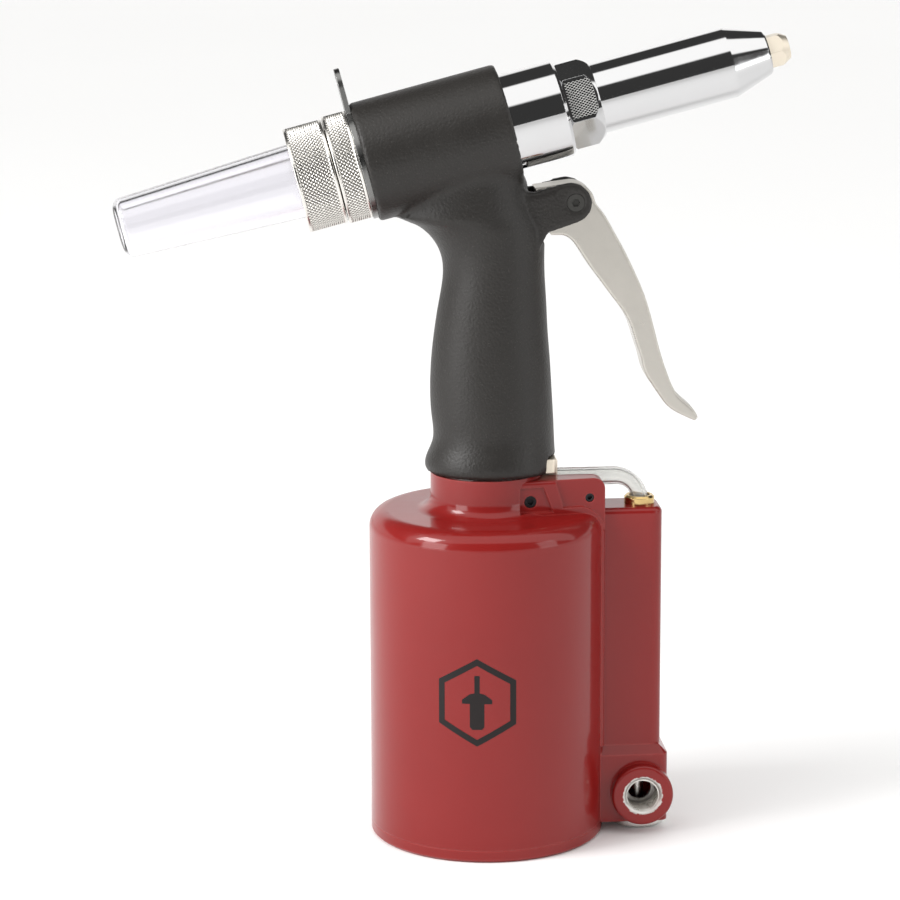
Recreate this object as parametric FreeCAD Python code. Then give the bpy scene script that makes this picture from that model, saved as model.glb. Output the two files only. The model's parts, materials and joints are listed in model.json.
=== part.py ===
import FreeCAD, Part
import math
import os

"""Pneumatic rivet gun, built as separate pieces.

Origin at the centre of the cylinder's foot, +Z up, +X towards the nose,
-Y towards the air inlet.  All sizes in millimetres.
"""

V = FreeCAD.Vector
os.makedirs("parts", exist_ok=True)

# ---------------------------------------------------------------- clearances
GAP = 0.30          # between curved faces of different bodies that do not guide each other
RUN = 0.05          # radial running clearance of a guided fit
SEAT = 0.06         # radial clearance of a screwed or pressed seat

# ---------------------------------------------------------------- air cylinder
CYL_R = 41.0        # outer radius
CYL_WALL = 2.8      # wall thickness
CYL_TOP = 117.0     # height of the flat roof
ROOF = 5.0          # roof thickness
SHOULDER = 6.3      # outer fillet at the roof
NECK_R = 19.5       # radius of the neck
NECK_H = 13.4       # height of the neck
NECK_FILLET = 5.0   # concave fillet between neck and roof
CAP_H = 4.4         # visible height of the base cap
CAP_PLATE = 8.0     # top of the cap's plate inside the cylinder
BUMPER_H = 5.0      # height of the rubber bumper on the cap

# ---------------------------------------------------------------- manifold
RIB_X = CYL_R - 0.5     # front face of the rib
RIB_W = 12.0        # half width of the rib at its front
RIB_REAR_W = 16.2   # half width of the rib at its rear end
RIB_LOW = 32.0      # bottom of the rib
RIB_RISE = -1.2     # top of the rib above the neck
RIB_ROUND = 4.0     # rounding of the rib's front top edge
RIB_REAR_X = 11.0   # rear end of the rib on the neck
PANEL_DEPTH = 0.9   # depth of the two recessed panels
COL_X = RIB_X + 20.8    # front face of the valve column
COL_W = 9.0         # half width of the column
COL_TOP = CYL_TOP + 0.4     # top of the column
COL_ROUND = 4.0     # corner rounding of the column
BLOCK_X = RIB_X + 22.9      # front face of the lower block
BLOCK_REAR = RIB_X - 4.2    # rear face of the lower block
BLOCK_W = 12.0      # half width of the lower block
BLOCK_LOW = 4.0     # underside of the lower block
BLOCK_TOP = 31.5    # top of the lower block
BLOCK_CHAMFER = 3.0
INLET_Z = 14.5      # height of the air inlet
INLET_Y = -16.0     # mouth of the air inlet
BOSS_R = 10.9       # outer radius of the inlet boss
THREAD_R = 5.85     # minor radius of a 1/4 inch pipe thread
THREAD_L = 9.8      # length of that thread
MOUTH_R = 6.7       # radius of the inlet's chamfered mouth

# ---------------------------------------------------------------- main valve
VALVE_X = RIB_X + 13.5      # axis of the valve bore
VALVE_R = 5.0       # radius of the valve bore
VALVE_TOP = COL_TOP - 13.4  # roof of the valve bore
VALVE_STROKE = 8.0  # lift of the spool
RISER_X = RIB_X + 5.0       # drilled way down to the cylinder port
PLUG_R = 9.6        # radius of the plug's head
PLUG_SEAT_R = 8.0   # radius of the plug's thread
PLUG_TOP = 8.4      # top of the plug
PLUG_LOW = 0.6      # underside of the plug
FIT_R = 5.3         # radius of the brass fitting
FIT_TOP = COL_TOP + 3.0     # top of the brass fitting
FIT_SEAT_R = 4.9    # radius of the fitting's thread
FIT_SEAT_L = 8.3    # length of that thread
PORT_Z = 10.6       # height of the cylinder port
CROSS_Z = 55.0      # height of the way from the valve bore to the riser
SPOOL_LOW = 32.0    # underside of the spool's lower land
SPOOL_DROP = 16.0   # top of the spool below the roof of its bore
VALVE_WIRE = 0.5    # wire radius of the valve spring
PLUG_GROOVE = 5.2   # lower side of the plug's ring groove

# ---------------------------------------------------------------- signal hose
HOSE_R = 3.175      # 1/4 inch tube
HOSE_BORE = 2.0     # its bore
HOSE_DROP = 3.0     # its level run below the top of the neck
HOSE_BEND = 9.0     # bend radius of its centre line
HOSE_IN = 7.0       # length pushed into the block
BLOCK2_X = 24.6     # front face of the hose block
BLOCK2_REAR = 12.6  # its rear face
BLOCK2_W = 4.8      # its half width
BLOCK2_RISE = 4.2   # its top above the neck
TAB_Y = -10.4       # outer side of the tab on the hose block
TAB_X = (18.0, 23.6)    # rear and front of the tab
TAB_LOW = 0.6       # underside of the tab above the neck
TAB_HIGH = 5.4      # its top above the neck
SIGNAL_X = 14.9     # signal way up the front of the handle

# ---------------------------------------------------------------- air piston and ram
PISTON_H = 13.0     # height of the air piston
RAM_R = 5.5         # radius of the ram
RAM_RISE = 5.6      # ram tip above the neck at rest
STUD_R = 4.0        # radius of the ram's lower stud
SPRING_R = 27.0     # mean radius of the return spring
SPRING_WIRE = 1.6   # its wire radius
SPRING_TURNS = 6.0
SPRING_SUNK = 3.0   # seat of the spring below the piston's top
RING_GROOVE = 3.2   # depth of the piston's ring groove
HUB_NUT_AF = 14.0   # nut under the piston, across its flats

# ---------------------------------------------------------------- handle
SKIN = 2.4          # thickness of the black moulding
TUBE_R = 9.0        # outer radius of the oil tube
TUBE_BORE = 7.0     # its bore
TUBE_DROP = 11.4    # its foot below the top of the neck
TUBE_RISE = 79.6    # its top above the neck
SPIGOT_R = 14.0     # radius of the spigot under the handle
SPIGOT_DROP = 5.0   # its lower end below the cylinder roof
NUT_R = 18.5        # handle nut, half across its flats
FOOT_R = 17.0       # round foot of the handle casting
FOOT_H = 5.6        # its height above the neck
SIGNAL_R = 1.4      # radius of the signal ways

# stations of the moulding's outside: height above the neck, rear X, front X, half width
GRIP = (
    (0.5, -20.6, 23.6, 19.6),
    (3.1, -21.4, 24.4, 20.4),
    (6.2, -20.6, 24.1, 19.8),
    (10.6, -18.8, 23.8, 18.4),
    (19.6, -19.0, 23.4, 17.8),
    (29.6, -19.5, 22.8, 17.4),
    (39.6, -19.1, 22.2, 16.9),
    (49.6, -18.0, 21.4, 16.3),
    (59.6, -16.4, 20.9, 15.9),
    (69.6, -14.9, 20.3, 15.6),
    (76.1, -15.5, 20.2, 15.6),
    (81.1, -17.8, 20.3, 15.8),
    (85.1, -21.4, 20.2, 16.2),
    (88.1, -26.8, 19.4, 16.6),
    (90.6, -32.5, 18.2, 16.9),
    (106.6, -21.0, 12.0, 15.0),
)
FLARE = 14          # number of stations in the smooth part

# ---------------------------------------------------------------- head
HEAD_TILT = 14.5    # upward tilt of the head axis, degrees
HEAD_RISE = 119.4   # height above the neck at which that axis crosses X = 0
HEAD_R = 20.7       # outside of the moulding
HEAD_REAR = -43.2   # rear face, along the axis
HEAD_FRONT = 8.2    # front face
BORE_R = 13.5       # hydraulic bore
ROD_R = 7.0         # piston rod
PULL = 16.0         # stroke of the head piston
PIST_FRONT = -10.0  # front of the head piston at rest
PIST_L = 12.0       # its length
GLAND_R = 16.65     # visible radius of the front gland
GLAND_END = 27.7    # its front face
GLAND_SEAT_R = 15.6     # its rear thread
GLAND_REAR = -6.0       # its rear face
NOSE_SEAT_R = 11.5      # its front thread
NOSE_SEAT_END = 38.0    # end of that thread
HEX_AF = 26.0       # hexagon of the nose housing
HEX_END = 39.4
HEX_TURN = 14.5     # turn of that hexagon about the axis, degrees
NOSE_R = 12.1       # tube of the nose housing
NOSE_BORE = 9.8     # its bore
CONE_START = 86.5
CONE_END = 100.2
CONE_R = 7.5        # small end of the cone
TIP_AF = 10.5       # hexagon of the nosepiece
TIP_END = 107.5
TIP_SEAT_R = 4.6    # its thread
TIP_TAIL_R = 2.9    # its tail, which holds the jaws open
MANDREL_R = 1.6     # hole for the rivet mandrel
CASE_R = 9.3        # jaw case
CASE_REAR = 44.0
CASE_END = 80.0
JAW_ANGLE = 12.0    # half angle of the jaw cone, degrees
JAW_REAR = 64.0
JAW_FRONT = 77.2
JAW_WIRE = 0.5      # wire radius of the jaw spring
JAW_SPRING_R = 5.2  # its mean radius
JAW_SPRING_END = 57.0   # its front end, at the pusher
CASE_SEAT = 8.0     # depth of the jaw case's thread
CASE_SEAT_R = 5.5   # its radius
GUIDE_R = 3.6       # guide tube for spent mandrels
GUIDE_BORE = 2.6
GUIDE_REAR = -62.0
HANGER_T = 1.8      # thickness of the hanger plate
HANGER_R = 19.4     # its rim
HANGER_TIP = 33.5   # tip of its tab above the axis
HANGER_EYE = 29.6   # centre of its eye above the axis
EYE_R = 2.3
CAP_R = 18.75       # knurled end cap
CAP_L = 8.4
RING_R = 18.1       # knurled collector ring
RING_L = 13.4
BOTTLE_R = 13.1     # bottle at the ring
BOTTLE_END_R = 10.3
BOTTLE_END = -130.0
BOTTLE_WALL = 1.9
SCREW_R = 14.1      # thread that carries the collector ring

# ---------------------------------------------------------------- trigger
PIVOT_X = 30.1
PIVOT_RISE = 94.8   # pivot above the neck
PIN_R = 2.0
EAR_OUT = 9.0       # outside of the ears
EAR_IN = 6.1        # inside of the ears
LEVER_W = 5.6       # half width of the lever
PILOT_DROP = 8.6    # pilot stem below the pivot
PILOT_R = 4.0       # pilot bush
STEM_R = 1.5        # pilot stem
STEM_TIP = 20.0     # front end of the pilot stem
PILOT_STROKE = 2.0  # its travel
PILOT_FRONT = 14.2  # front face of the pilot bush
PILOT_REAR = 5.0    # its rear face
PILOT_WIRE = 0.3    # wire radius of the pilot spring
PILOT_SPRING_R = 1.75   # its mean radius
LEVER_ROUND = 0.7   # rounding along the lever's edges
PILOT_GUIDE = 4.0   # length of the bush's narrow bore
PILOT_ROOM = 2.4    # radius of its wide bore
SEAL_R = 2.1        # pilot seal and the flange behind it
SEAL_L = 1.0        # length of that seal
FLANGE_BACK = 2.4   # rear of the flange behind the seal's front

# outlines about the pivot, X and Z: the ears
EAR = ((-20.6, 4.4), (-16.9, 3.7), (-13.9, 4.0), (-7.7, 5.8), (-1.6, 6.9), (1.9, 6.0), (4.5, 3.4),
       (5.7, 0.4), (5.3, -2.8), (3.3, -5.4), (0.9, -6.7), (-4.6, -8.6), (-9.6, -10.2), (-13.1, -17.2),
       (-20.6, -17.2))
# the space the lever swings in
ROOM = ((-15.9, -12.2), (-11.1, -14.0), (14.9, -20.2), (14.9, 14.8), (-14.1, 14.8), (-15.9, 7.8))
# front of the lever, from top to tip
LEVER_FRONT = ((-1.1, 6.4), (3.5, 5.2), (6.3, 2.2), (7.2, -0.4), (9.4, -3.5), (13.2, -9.8), (17.0, -16.7),
               (20.7, -24.3), (24.0, -31.9), (26.5, -39.5), (28.5, -47.1), (30.4, -54.1), (33.0, -61.8),
               (36.2, -68.2), (40.1, -72.0), (42.3, -74.2), (43.5, -76.6))
# back of the lever, from tip to heel
LEVER_BACK = ((42.3, -77.7), (37.6, -75.5), (33.1, -72.6), (28.7, -66.7), (24.8, -60.3), (23.2, -54.6),
              (21.3, -48.9), (19.7, -43.8), (17.1, -38.7), (13.3, -33.6), (9.6, -28.5), (5.8, -23.4),
              (2.1, -17.7), (-0.5, -14.0), (-2.3, -12.4), (-4.8, -11.6))
# heel and rear of the lever
LEVER_HEEL = ((-8.1, -11.5), (-9.2, -10.0), (-9.7, -6.2), (-13.1, 2.4), (-13.5, 4.8))

# ---------------------------------------------------------------- derived
NECK_TOP = CYL_TOP + NECK_H
RIB_TOP = NECK_TOP + RIB_RISE
HOSE_Z = NECK_TOP - HOSE_DROP
HOSE_END = COL_TOP - 3.0
BLOCK2_LOW = HOSE_Z - HOSE_R - GAP - 0.5
BLOCK2_TOP = NECK_TOP + BLOCK2_RISE
RAM_TIP = NECK_TOP + RAM_RISE
TUBE_LOW = NECK_TOP - TUBE_DROP
TUBE_TOP = NECK_TOP + TUBE_RISE
SPIGOT_LOW = CYL_TOP - ROOF - SPIGOT_DROP
PISTON_LOW = CAP_PLATE + BUMPER_H
SPOOL_TOP = VALVE_TOP - SPOOL_DROP
PIVOT_Z = NECK_TOP + PIVOT_RISE
PILOT_Z = PIVOT_Z - PILOT_DROP
HEAD_Z = NECK_TOP + HEAD_RISE
PLATE_REAR = HEAD_REAR - HANGER_T
CAP_REAR = PLATE_REAR - CAP_L
RING_FRONT = CAP_REAR - 0.4
RING_REAR = RING_FRONT - RING_L
FLANGE_FRONT = CAP_REAR - 5.4
FLANGE_REAR = FLANGE_FRONT - 1.8
SEAL_FRONT = PILOT_FRONT - PILOT_GUIDE - 0.1
# set screws in the rib: X, Z, radius, depth of the hole
SCREWS = ((13.9, NECK_TOP - 8.5, 2.1, 4.4), (RIB_X - 5.5, NECK_TOP - 8.1, 1.5, 4.5))

HEAD_O = V(0, 0, HEAD_Z)
TILT_S = math.sin(math.radians(HEAD_TILT))
TILT_C = math.cos(math.radians(HEAD_TILT))


# ================================================================ helpers
def edges_at(shape, side, place):
    """Edges whose bounding box has the named side at the given place."""
    return [e for e in shape.Edges if abs(getattr(e.BoundBox, side) - place) < 1e-6]


def save(name, shape):
    """Write one piece; a boolean result with one solid is written as that solid."""
    shape = shape.removeSplitter()
    if len(shape.Solids) == 1:
        shape = shape.Solids[0]
    shape.exportStep("parts/" + name + ".step")


def rod(radius, low, high, x=0.0, y=0.0):
    """Cylinder along Z."""
    return Part.makeCylinder(radius, high - low, V(x, y, low))


def bar(radius, start, end, y=0.0, z=0.0):
    """Cylinder along X."""
    return Part.makeCylinder(radius, end - start, V(start, y, z), V(1, 0, 0))


def block(x0, x1, y0, y1, z0, z1):
    """Box between two corners."""
    return Part.makeBox(x1 - x0, y1 - y0, z1 - z0, V(x0, y0, z0))


def turned(points, axis="X"):
    """Solid of revolution from (station, radius) points."""
    if axis == "X":
        vecs = [V(s, 0, r) for s, r in points]
        direction = V(1, 0, 0)
    else:
        vecs = [V(r, 0, s) for s, r in points]
        direction = V(0, 0, 1)
    face = Part.Face(Part.makePolygon(vecs + [vecs[0]]))
    return face.revolve(V(0, 0, 0), direction, 360)


def ring(inner, outer, start, end, axis="X"):
    """Plain ring of rectangular section."""
    return turned([(start, inner), (end, inner), (end, outer), (start, outer)], axis)


def oring(groove, bore, station, axis="X", x=0.0):
    """Rubber ring of round section between the foot of a groove and a bore."""
    mean = (groove + bore) / 2
    cord = (bore - groove) / 2 - 0.03
    if axis == "X":
        return Part.makeTorus(mean, cord, V(station, 0, 0), V(1, 0, 0))
    return Part.makeTorus(mean, cord, V(x, 0, station), V(0, 0, 1))


def hexagon(across_flats, start, end, turn=0.0):
    """Hexagonal bar along X."""
    corner = across_flats / 2 / math.cos(math.radians(30))
    pts = []
    for k in range(6):
        a = math.radians(60 * k + turn)
        pts.append(V(start, corner * math.cos(a), corner * math.sin(a)))
    face = Part.Face(Part.makePolygon(pts + [pts[0]]))
    return face.extrude(V(end - start, 0, 0))


def on_head(shape):
    """Move a piece drawn along X onto the tilted head axis."""
    moved = shape.copy()
    moved.rotate(V(0, 0, 0), V(0, 1, 0), -HEAD_TILT)
    moved.translate(HEAD_O)
    return moved


def outline_face(points, y):
    """Closed face at depth y through the outline points, straight between them."""
    vecs = [V(x, y, z) for x, z in points]
    return Part.Face(Part.makePolygon(vecs + [vecs[0]]))


def coil(radius, wire, low, high, turns, axis="X", x=0.0, y=0.0, z=0.0):
    """Compression spring with ends cut flat, from low to high along its axis."""
    height = high - low
    pitch = (height - 2 * wire) / turns
    helix = Part.makeHelix(pitch, pitch * turns, radius)
    section = Part.Wire([Part.makeCircle(wire, V(radius, 0, 0), V(0, 1, 0))])
    body = Part.Wire(helix).makePipeShell([section], True, True)
    body.translate(V(0, 0, wire))
    if axis == "X":
        body.rotate(V(0, 0, 0), V(0, 1, 0), 90)
        body.translate(V(low, y, z))
    else:
        body.translate(V(x, y, low))
    return body


def grip_section(station, inset):
    """Ellipse of the handle at one station, pulled in by inset."""
    rise, rear, front, half = station
    centre = V((front + rear) / 2, 0, NECK_TOP + rise)
    major = V((front - rear) / 2 - inset, 0, 0)
    minor = V(0, half - inset, 0)
    return Part.Wire([Part.Ellipse(centre + major, centre + minor, centre).toShape()])


def grip_loft(inset, first=0):
    """Handle body: smooth up to the flare, then straight-sided up into the head."""
    wires = [grip_section(station, inset) for station in GRIP]
    smooth = Part.makeLoft(wires[first:FLARE], True, False)
    flare = Part.makeLoft(wires[FLARE - 1:], True, True)
    return smooth.fuse(flare)


# ================================================================ painted casting
def rib_side(x):
    """Half width of the tapered rib at a distance x from the cylinder's axis."""
    share = (x - RIB_REAR_X) / (RIB_X - RIB_REAR_X)
    return RIB_REAR_W + (RIB_W - RIB_REAR_W) * share


def rib_wedge(inset, low, high, x0=RIB_REAR_X, x1=RIB_X):
    """Tapered bar in the plan of the rib, its sides moved in by the inset."""
    rear = rib_side(x0) - inset
    front = rib_side(x1) - inset
    corners = [V(x0, -rear, low), V(x1, -front, low), V(x1, front, low), V(x0, rear, low)]
    return Part.Face(Part.makePolygon(corners + corners[:1])).extrude(V(0, 0, high - low))


def rib_panel(points):
    """Shallow tool that sinks one panel into the near side of the rib."""
    prism = outline_face(points, -RIB_REAR_W - 3).extrude(V(0, RIB_REAR_W + 3, 0))
    return prism.cut(rib_wedge(PANEL_DEPTH, RIB_LOW, RIB_TOP + 9, RIB_REAR_X - 4, RIB_X + 9))


def valve_passages():
    """Drilled ways from the valve bore to the cylinder, the hose and the exhaust."""
    low_port = bar(2.5, CYL_R - CYL_WALL - 1.5, RISER_X, 0, PORT_Z)
    riser = rod(2.0, PORT_Z - 1.1, CROSS_Z + 2.0, RISER_X)
    cross = bar(2.0, RISER_X, VALVE_X, 0, CROSS_Z)
    exhaust = bar(1.7, VALVE_X, COL_X + 1, 0, COL_TOP - 20.9)
    pilot = rod(1.5, VALVE_TOP - 1, COL_TOP, VALVE_X)
    return [low_port, riser, cross, exhaust, pilot]


def rib_panels():
    """Two recesses beside the slanted web; the front one runs down round the shoulder."""
    high = RIB_TOP - 2.2
    low = NECK_TOP - 12.2
    left = [(RIB_REAR_X - 1, high), (18.5, high), (21.9, low), (RIB_REAR_X - 1, low)]
    low = NECK_TOP - 11.0
    right = [(22.3, RIB_TOP + 1), (RIB_X + 2, RIB_TOP + 1), (RIB_X + 2, low - 9.0), (RIB_X - 0.7, low - 9.0),
             (RIB_X - 0.7, low - 6.8), (RIB_X - 1.5, low - 4.8), (RIB_X - 2.8, low - 2.9),
             (RIB_X - 4.9, low - 1.2), (RIB_X - 7.5, low), (25.5, low)]
    return [rib_panel(left), rib_panel(right)]


def cylinder_casting():
    inner = CYL_R - CYL_WALL
    can = rod(CYL_R, CAP_H, CYL_TOP)
    can = can.makeFillet(SHOULDER, edges_at(can, "ZMin", CYL_TOP))
    neck = rod(NECK_R, CYL_TOP - 2, NECK_TOP)
    skirt = turned([(CYL_TOP - 2, 0.0), (CYL_TOP - 2, NECK_R + NECK_FILLET),
                    (CYL_TOP, NECK_R + NECK_FILLET), (CYL_TOP + NECK_FILLET, NECK_R),
                    (CYL_TOP + NECK_FILLET, 0.0)], "Z")
    scoop = Part.makeTorus(NECK_R + NECK_FILLET, NECK_FILLET, V(0, 0, CYL_TOP + NECK_FILLET), V(0, 0, 1))
    body = can.fuse([neck, skirt]).cut(scoop)

    rib = rib_wedge(0, RIB_LOW, RIB_TOP)
    crest = [e for e in edges_at(rib, "ZMin", RIB_TOP) if e.BoundBox.XMin > RIB_X - 1]
    rib = rib.makeFillet(RIB_ROUND, crest)
    round_edges = [e for e in edges_at(rib, "XMin", RIB_X) if e.BoundBox.ZLength > 50]
    rib = rib.makeFillet(1.2, round_edges)
    column = block(RIB_X - 8, COL_X, -COL_W, COL_W, BLOCK_TOP - 4, COL_TOP)
    uprights = [e for e in edges_at(column, "XMin", COL_X) if e.BoundBox.ZLength > 50]
    column = column.makeFillet(COL_ROUND, uprights)
    rim = [e for e in edges_at(column, "ZMin", COL_TOP) if e.BoundBox.XMax > COL_X - 6]
    column = column.makeFillet(2.0, rim)
    foot = block(BLOCK_REAR, BLOCK_X, -BLOCK_W, BLOCK_W, BLOCK_LOW, BLOCK_TOP)
    uprights = [e for e in edges_at(foot, "XMin", BLOCK_X) if e.BoundBox.ZLength > 20]
    foot = foot.makeFillet(3.0, uprights)
    foot = foot.makeChamfer(BLOCK_CHAMFER, edges_at(foot, "ZMin", BLOCK_TOP))
    boss = Part.makeCylinder(BOSS_R, -INLET_Y, V(VALVE_X, 0, INLET_Z), V(0, -1, 0))
    boss = boss.makeFillet(1.2, edges_at(boss, "YMax", INLET_Y))
    body = body.fuse([rib, column, foot, boss])

    bore = rod(inner, 0, CYL_TOP - ROOF)
    spigot_hole = rod(SPIGOT_R + SEAT, CYL_TOP - ROOF - 1, NECK_TOP + 5)
    handle_seat = Part.Face(grip_section(GRIP[1], -0.5)).extrude(V(0, 0, 10))
    handle_seat.translate(V(0, 0, -GRIP[1][0]))
    hose_way = block(BLOCK2_REAR - 1.0, RIB_X + 5, -BLOCK2_W - GAP, BLOCK2_W + GAP,
                     BLOCK2_LOW, RIB_TOP + 9)
    shelf = block(NECK_R + 1.0, RIB_X + 5, 0, RIB_REAR_W, BLOCK2_LOW, RIB_TOP + 9)
    valve = rod(VALVE_R, PLUG_TOP - 1, VALVE_TOP, VALVE_X)
    plug_seat = rod(PLUG_SEAT_R + SEAT, 0, PLUG_TOP, VALVE_X)
    fit_seat = rod(FIT_SEAT_R + SEAT, COL_TOP - FIT_SEAT_L - 0.4, COL_TOP + 1, VALVE_X)
    thread = Part.makeCylinder(THREAD_R, THREAD_L, V(VALVE_X, INLET_Y, INLET_Z), V(0, 1, 0))
    cap_room = rod(CYL_R + GAP, 0, CAP_H)
    plug_room = rod(PLUG_R + GAP, 0, BLOCK_LOW, VALVE_X)
    mouth = Part.makeCone(MOUTH_R, THREAD_R, MOUTH_R - THREAD_R, V(VALVE_X, INLET_Y, INLET_Z),
                          V(0, 1, 0))
    inner_way = Part.makeCylinder(4.2, -INLET_Y, V(VALVE_X, INLET_Y, INLET_Z), V(0, 1, 0))
    cuts = [bore, spigot_hole, handle_seat, hose_way, shelf, valve, plug_seat, fit_seat, thread, mouth]
    cuts += [inner_way, cap_room, plug_room]
    cuts += valve_passages()

    for x, z, radius, depth in SCREWS:
        start = V(x, -rib_side(x) - 2, z)
        cuts.append(Part.makeCylinder(radius + SEAT, depth + 2, start, V(0, 1, 0)))
    return body.cut(cuts + rib_panels())


def set_screw(x, z, radius, depth):
    """Socket set screw, its face sunk a little below the rib."""
    sunk = PANEL_DEPTH + 0.5
    body = Part.makeCylinder(radius, depth - sunk, V(0, 0, 0), V(1, 0, 0))
    socket = hexagon(radius * 1.05, -0.1, 1.6)
    piece = body.cut(socket)
    piece.rotate(V(0, 0, 0), V(0, 0, 1), 90)
    piece.translate(V(x, sunk - rib_side(x), z))
    return piece


def base_cap():
    inner = CYL_R - CYL_WALL - SEAT
    profile = [(0, 0), (0, 10), (1.2, 11.5), (1.2, 30), (0, 31.5), (0, CYL_R - 1), (1.0, CYL_R),
               (CAP_H, CYL_R), (CAP_H, inner), (5.0, inner), (5.0, inner - 1.6), (7.0, inner - 1.6), (7.0, inner),
               (CAP_PLATE, inner), (CAP_PLATE, 34.5), (4.5, 33.0), (4.5, 26.6), (CAP_PLATE, 26.6),
               (CAP_PLATE, 0)]
    cap = turned(profile, "Z")
    holes = [rod(2.5, -1, 3.2, 24 * math.cos(a), 24 * math.sin(a)) for a in (0.6, 0.6 + math.pi)]
    return cap.cut(holes)


# ================================================================ air piston and ram
def air_piston():
    """Cupped piston with a ring groove and a bored hub."""
    low = PISTON_LOW
    top = low + PISTON_H
    outer = CYL_R - CYL_WALL - GAP
    groove = outer - RING_GROOVE
    seat = top - SPRING_SUNK
    profile = [(low, 20.0), (low, outer), (low + 4.6, outer), (low + 4.6, groove),
               (low + 8.4, groove), (low + 8.4, outer), (top, outer), (top, SPRING_R + 5),
               (seat, SPRING_R + 4), (seat, 14.0), (top, 12.0), (top, STUD_R + SEAT),
               (low + 5.5, STUD_R + SEAT), (low + 5.5, 18.0)]
    return turned(profile, "Z")


def ram_rod():
    low = PISTON_LOW
    top = low + PISTON_H
    return turned([(low + 0.4, 0), (low + 0.4, STUD_R), (top, STUD_R), (top, RAM_R),
                   (RAM_TIP - 1, RAM_R), (RAM_TIP, RAM_R - 1), (RAM_TIP, 0)], "Z")


def piston_nut():
    nut = hexagon(HUB_NUT_AF, 0, 4.6)
    nut = nut.cut(bar(STUD_R + SEAT, -1, 6))
    nut.rotate(V(0, 0, 0), V(0, 1, 0), -90)
    nut.translate(V(0, 0, PISTON_LOW + 0.9))
    return nut


# ================================================================ handle
def head_barrel(radius, u0=HEAD_REAR, u1=HEAD_FRONT):
    return on_head(bar(radius, u0, u1))


def about_pivot(outline):
    return [(PIVOT_X + x, PIVOT_Z + z) for x, z in outline]


def lever_room():
    """Space between the ears that the lever swings in."""
    return outline_face(about_pivot(ROOM), -EAR_IN).extrude(V(0, 2 * EAR_IN, 0))


def hose_window(extra):
    """Room for the hose block and for the tab on its near side."""
    half = BLOCK2_W + extra
    room = block(BLOCK2_REAR - extra, 40, -half, half, BLOCK2_LOW - extra, BLOCK2_TOP + extra)
    tab = block(TAB_X[0] - extra, 40, TAB_Y - extra, 0, NECK_TOP + TAB_LOW - extra,
                NECK_TOP + TAB_HIGH + extra)
    return room.fuse(tab)


def handle_casting():
    """Aluminium core: spigot, handle, head barrel, and the bores in them."""
    inset = SKIN + 0.15
    foot = rod(FOOT_R, NECK_TOP, NECK_TOP + FOOT_H)
    spigot = rod(SPIGOT_R, SPIGOT_LOW, NECK_TOP + 2)
    body = grip_loft(inset, 1).fuse([foot, spigot, head_barrel(HEAD_R - inset)])
    tube_hole = rod(TUBE_R + SEAT, SPIGOT_LOW - 1, TUBE_TOP)
    bore = head_barrel(BORE_R, HEAD_REAR - 1, HEAD_FRONT + 1)
    front_seat = head_barrel(GLAND_SEAT_R + SEAT, GLAND_REAR, HEAD_FRONT + 1)
    rear_seat = head_barrel(GLAND_SEAT_R + SEAT, HEAD_REAR - 1, HEAD_REAR + 5.2)
    oil_way = rod(2.2, TUBE_TOP - 1, HEAD_Z - 11.8, -4.0)
    signal_way = rod(SIGNAL_R, BLOCK2_TOP - 1, PILOT_Z, SIGNAL_X)
    pilot_hole = bar(PILOT_R + SEAT, PILOT_REAR - 3.0, PILOT_FRONT + 9, 0, PILOT_Z)
    ways = [tube_hole, bore, front_seat, rear_seat, oil_way, signal_way, pilot_hole]
    return body.cut(ways + [lever_room(), hose_window(SEAT)])


def grip_sleeve():
    """Black moulding over handle and head, with the two ears that carry the lever."""
    barrel = head_barrel(HEAD_R)
    rims = [e for e in barrel.Edges if len(e.Vertexes) == 1]
    barrel = barrel.makeFillet(1.0, rims)
    ears = outline_face(about_pivot(EAR), -EAR_OUT).extrude(V(0, 2 * EAR_OUT, 0))
    body = grip_loft(0.0).fuse([barrel, ears])
    core = grip_loft(SKIN, 1)
    foot = rod(FOOT_R + 0.15, NECK_TOP - 5, NECK_TOP + FOOT_H + 0.2)
    core_barrel = head_barrel(HEAD_R - SKIN, HEAD_REAR - 1, HEAD_FRONT + 1)
    pin_hole = Part.makeCylinder(PIN_R + 0.02, 40, V(PIVOT_X, -20, PIVOT_Z), V(0, 1, 0))
    pin_seat = Part.makeCylinder(3.1, 1.2, V(PIVOT_X, -EAR_OUT, PIVOT_Z), V(0, 1, 0))
    clip_seat = Part.makeCylinder(3.1, 1.2, V(PIVOT_X, EAR_OUT, PIVOT_Z), V(0, -1, 0))
    pilot_hole = bar(PILOT_R + GAP, PILOT_REAR, PILOT_FRONT + 9, 0, PILOT_Z)
    holes = [pin_hole, pin_seat, clip_seat, pilot_hole]
    high = NECK_TOP + TAB_HIGH + GAP
    notch = [(19.9, NECK_TOP - 8), (40, NECK_TOP - 8), (40, high), (25, high), (19.9, high - 0.8)]
    holes.append(outline_face(notch, TAB_Y - 20).extrude(V(0, 20, 0)))
    return body.cut([core, foot, core_barrel, lever_room(), hose_window(GAP)] + holes)


def handle_nut():
    nut = hexagon(2 * NUT_R, 0, CYL_TOP - ROOF - SPIGOT_LOW)
    nut = nut.cut(bar(SPIGOT_R + SEAT, -1, 20))
    nut.rotate(V(0, 0, 0), V(0, 1, 0), -90)
    nut.translate(V(0, 0, SPIGOT_LOW))
    return nut


def oil_tube():
    return ring(TUBE_BORE, TUBE_R, TUBE_LOW, TUBE_TOP, "Z")


def ram_gland():
    low = SPIGOT_LOW - 3.0
    bore = RAM_R + RUN
    return turned([(low, bore), (low, 12.0), (SPIGOT_LOW, 12.0), (SPIGOT_LOW, TUBE_R),
                   (TUBE_LOW, TUBE_R), (TUBE_LOW, bore + 2.0), (TUBE_LOW - 3.0, bore + 2.0),
                   (TUBE_LOW - 3.0, bore)], "Z")


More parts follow.
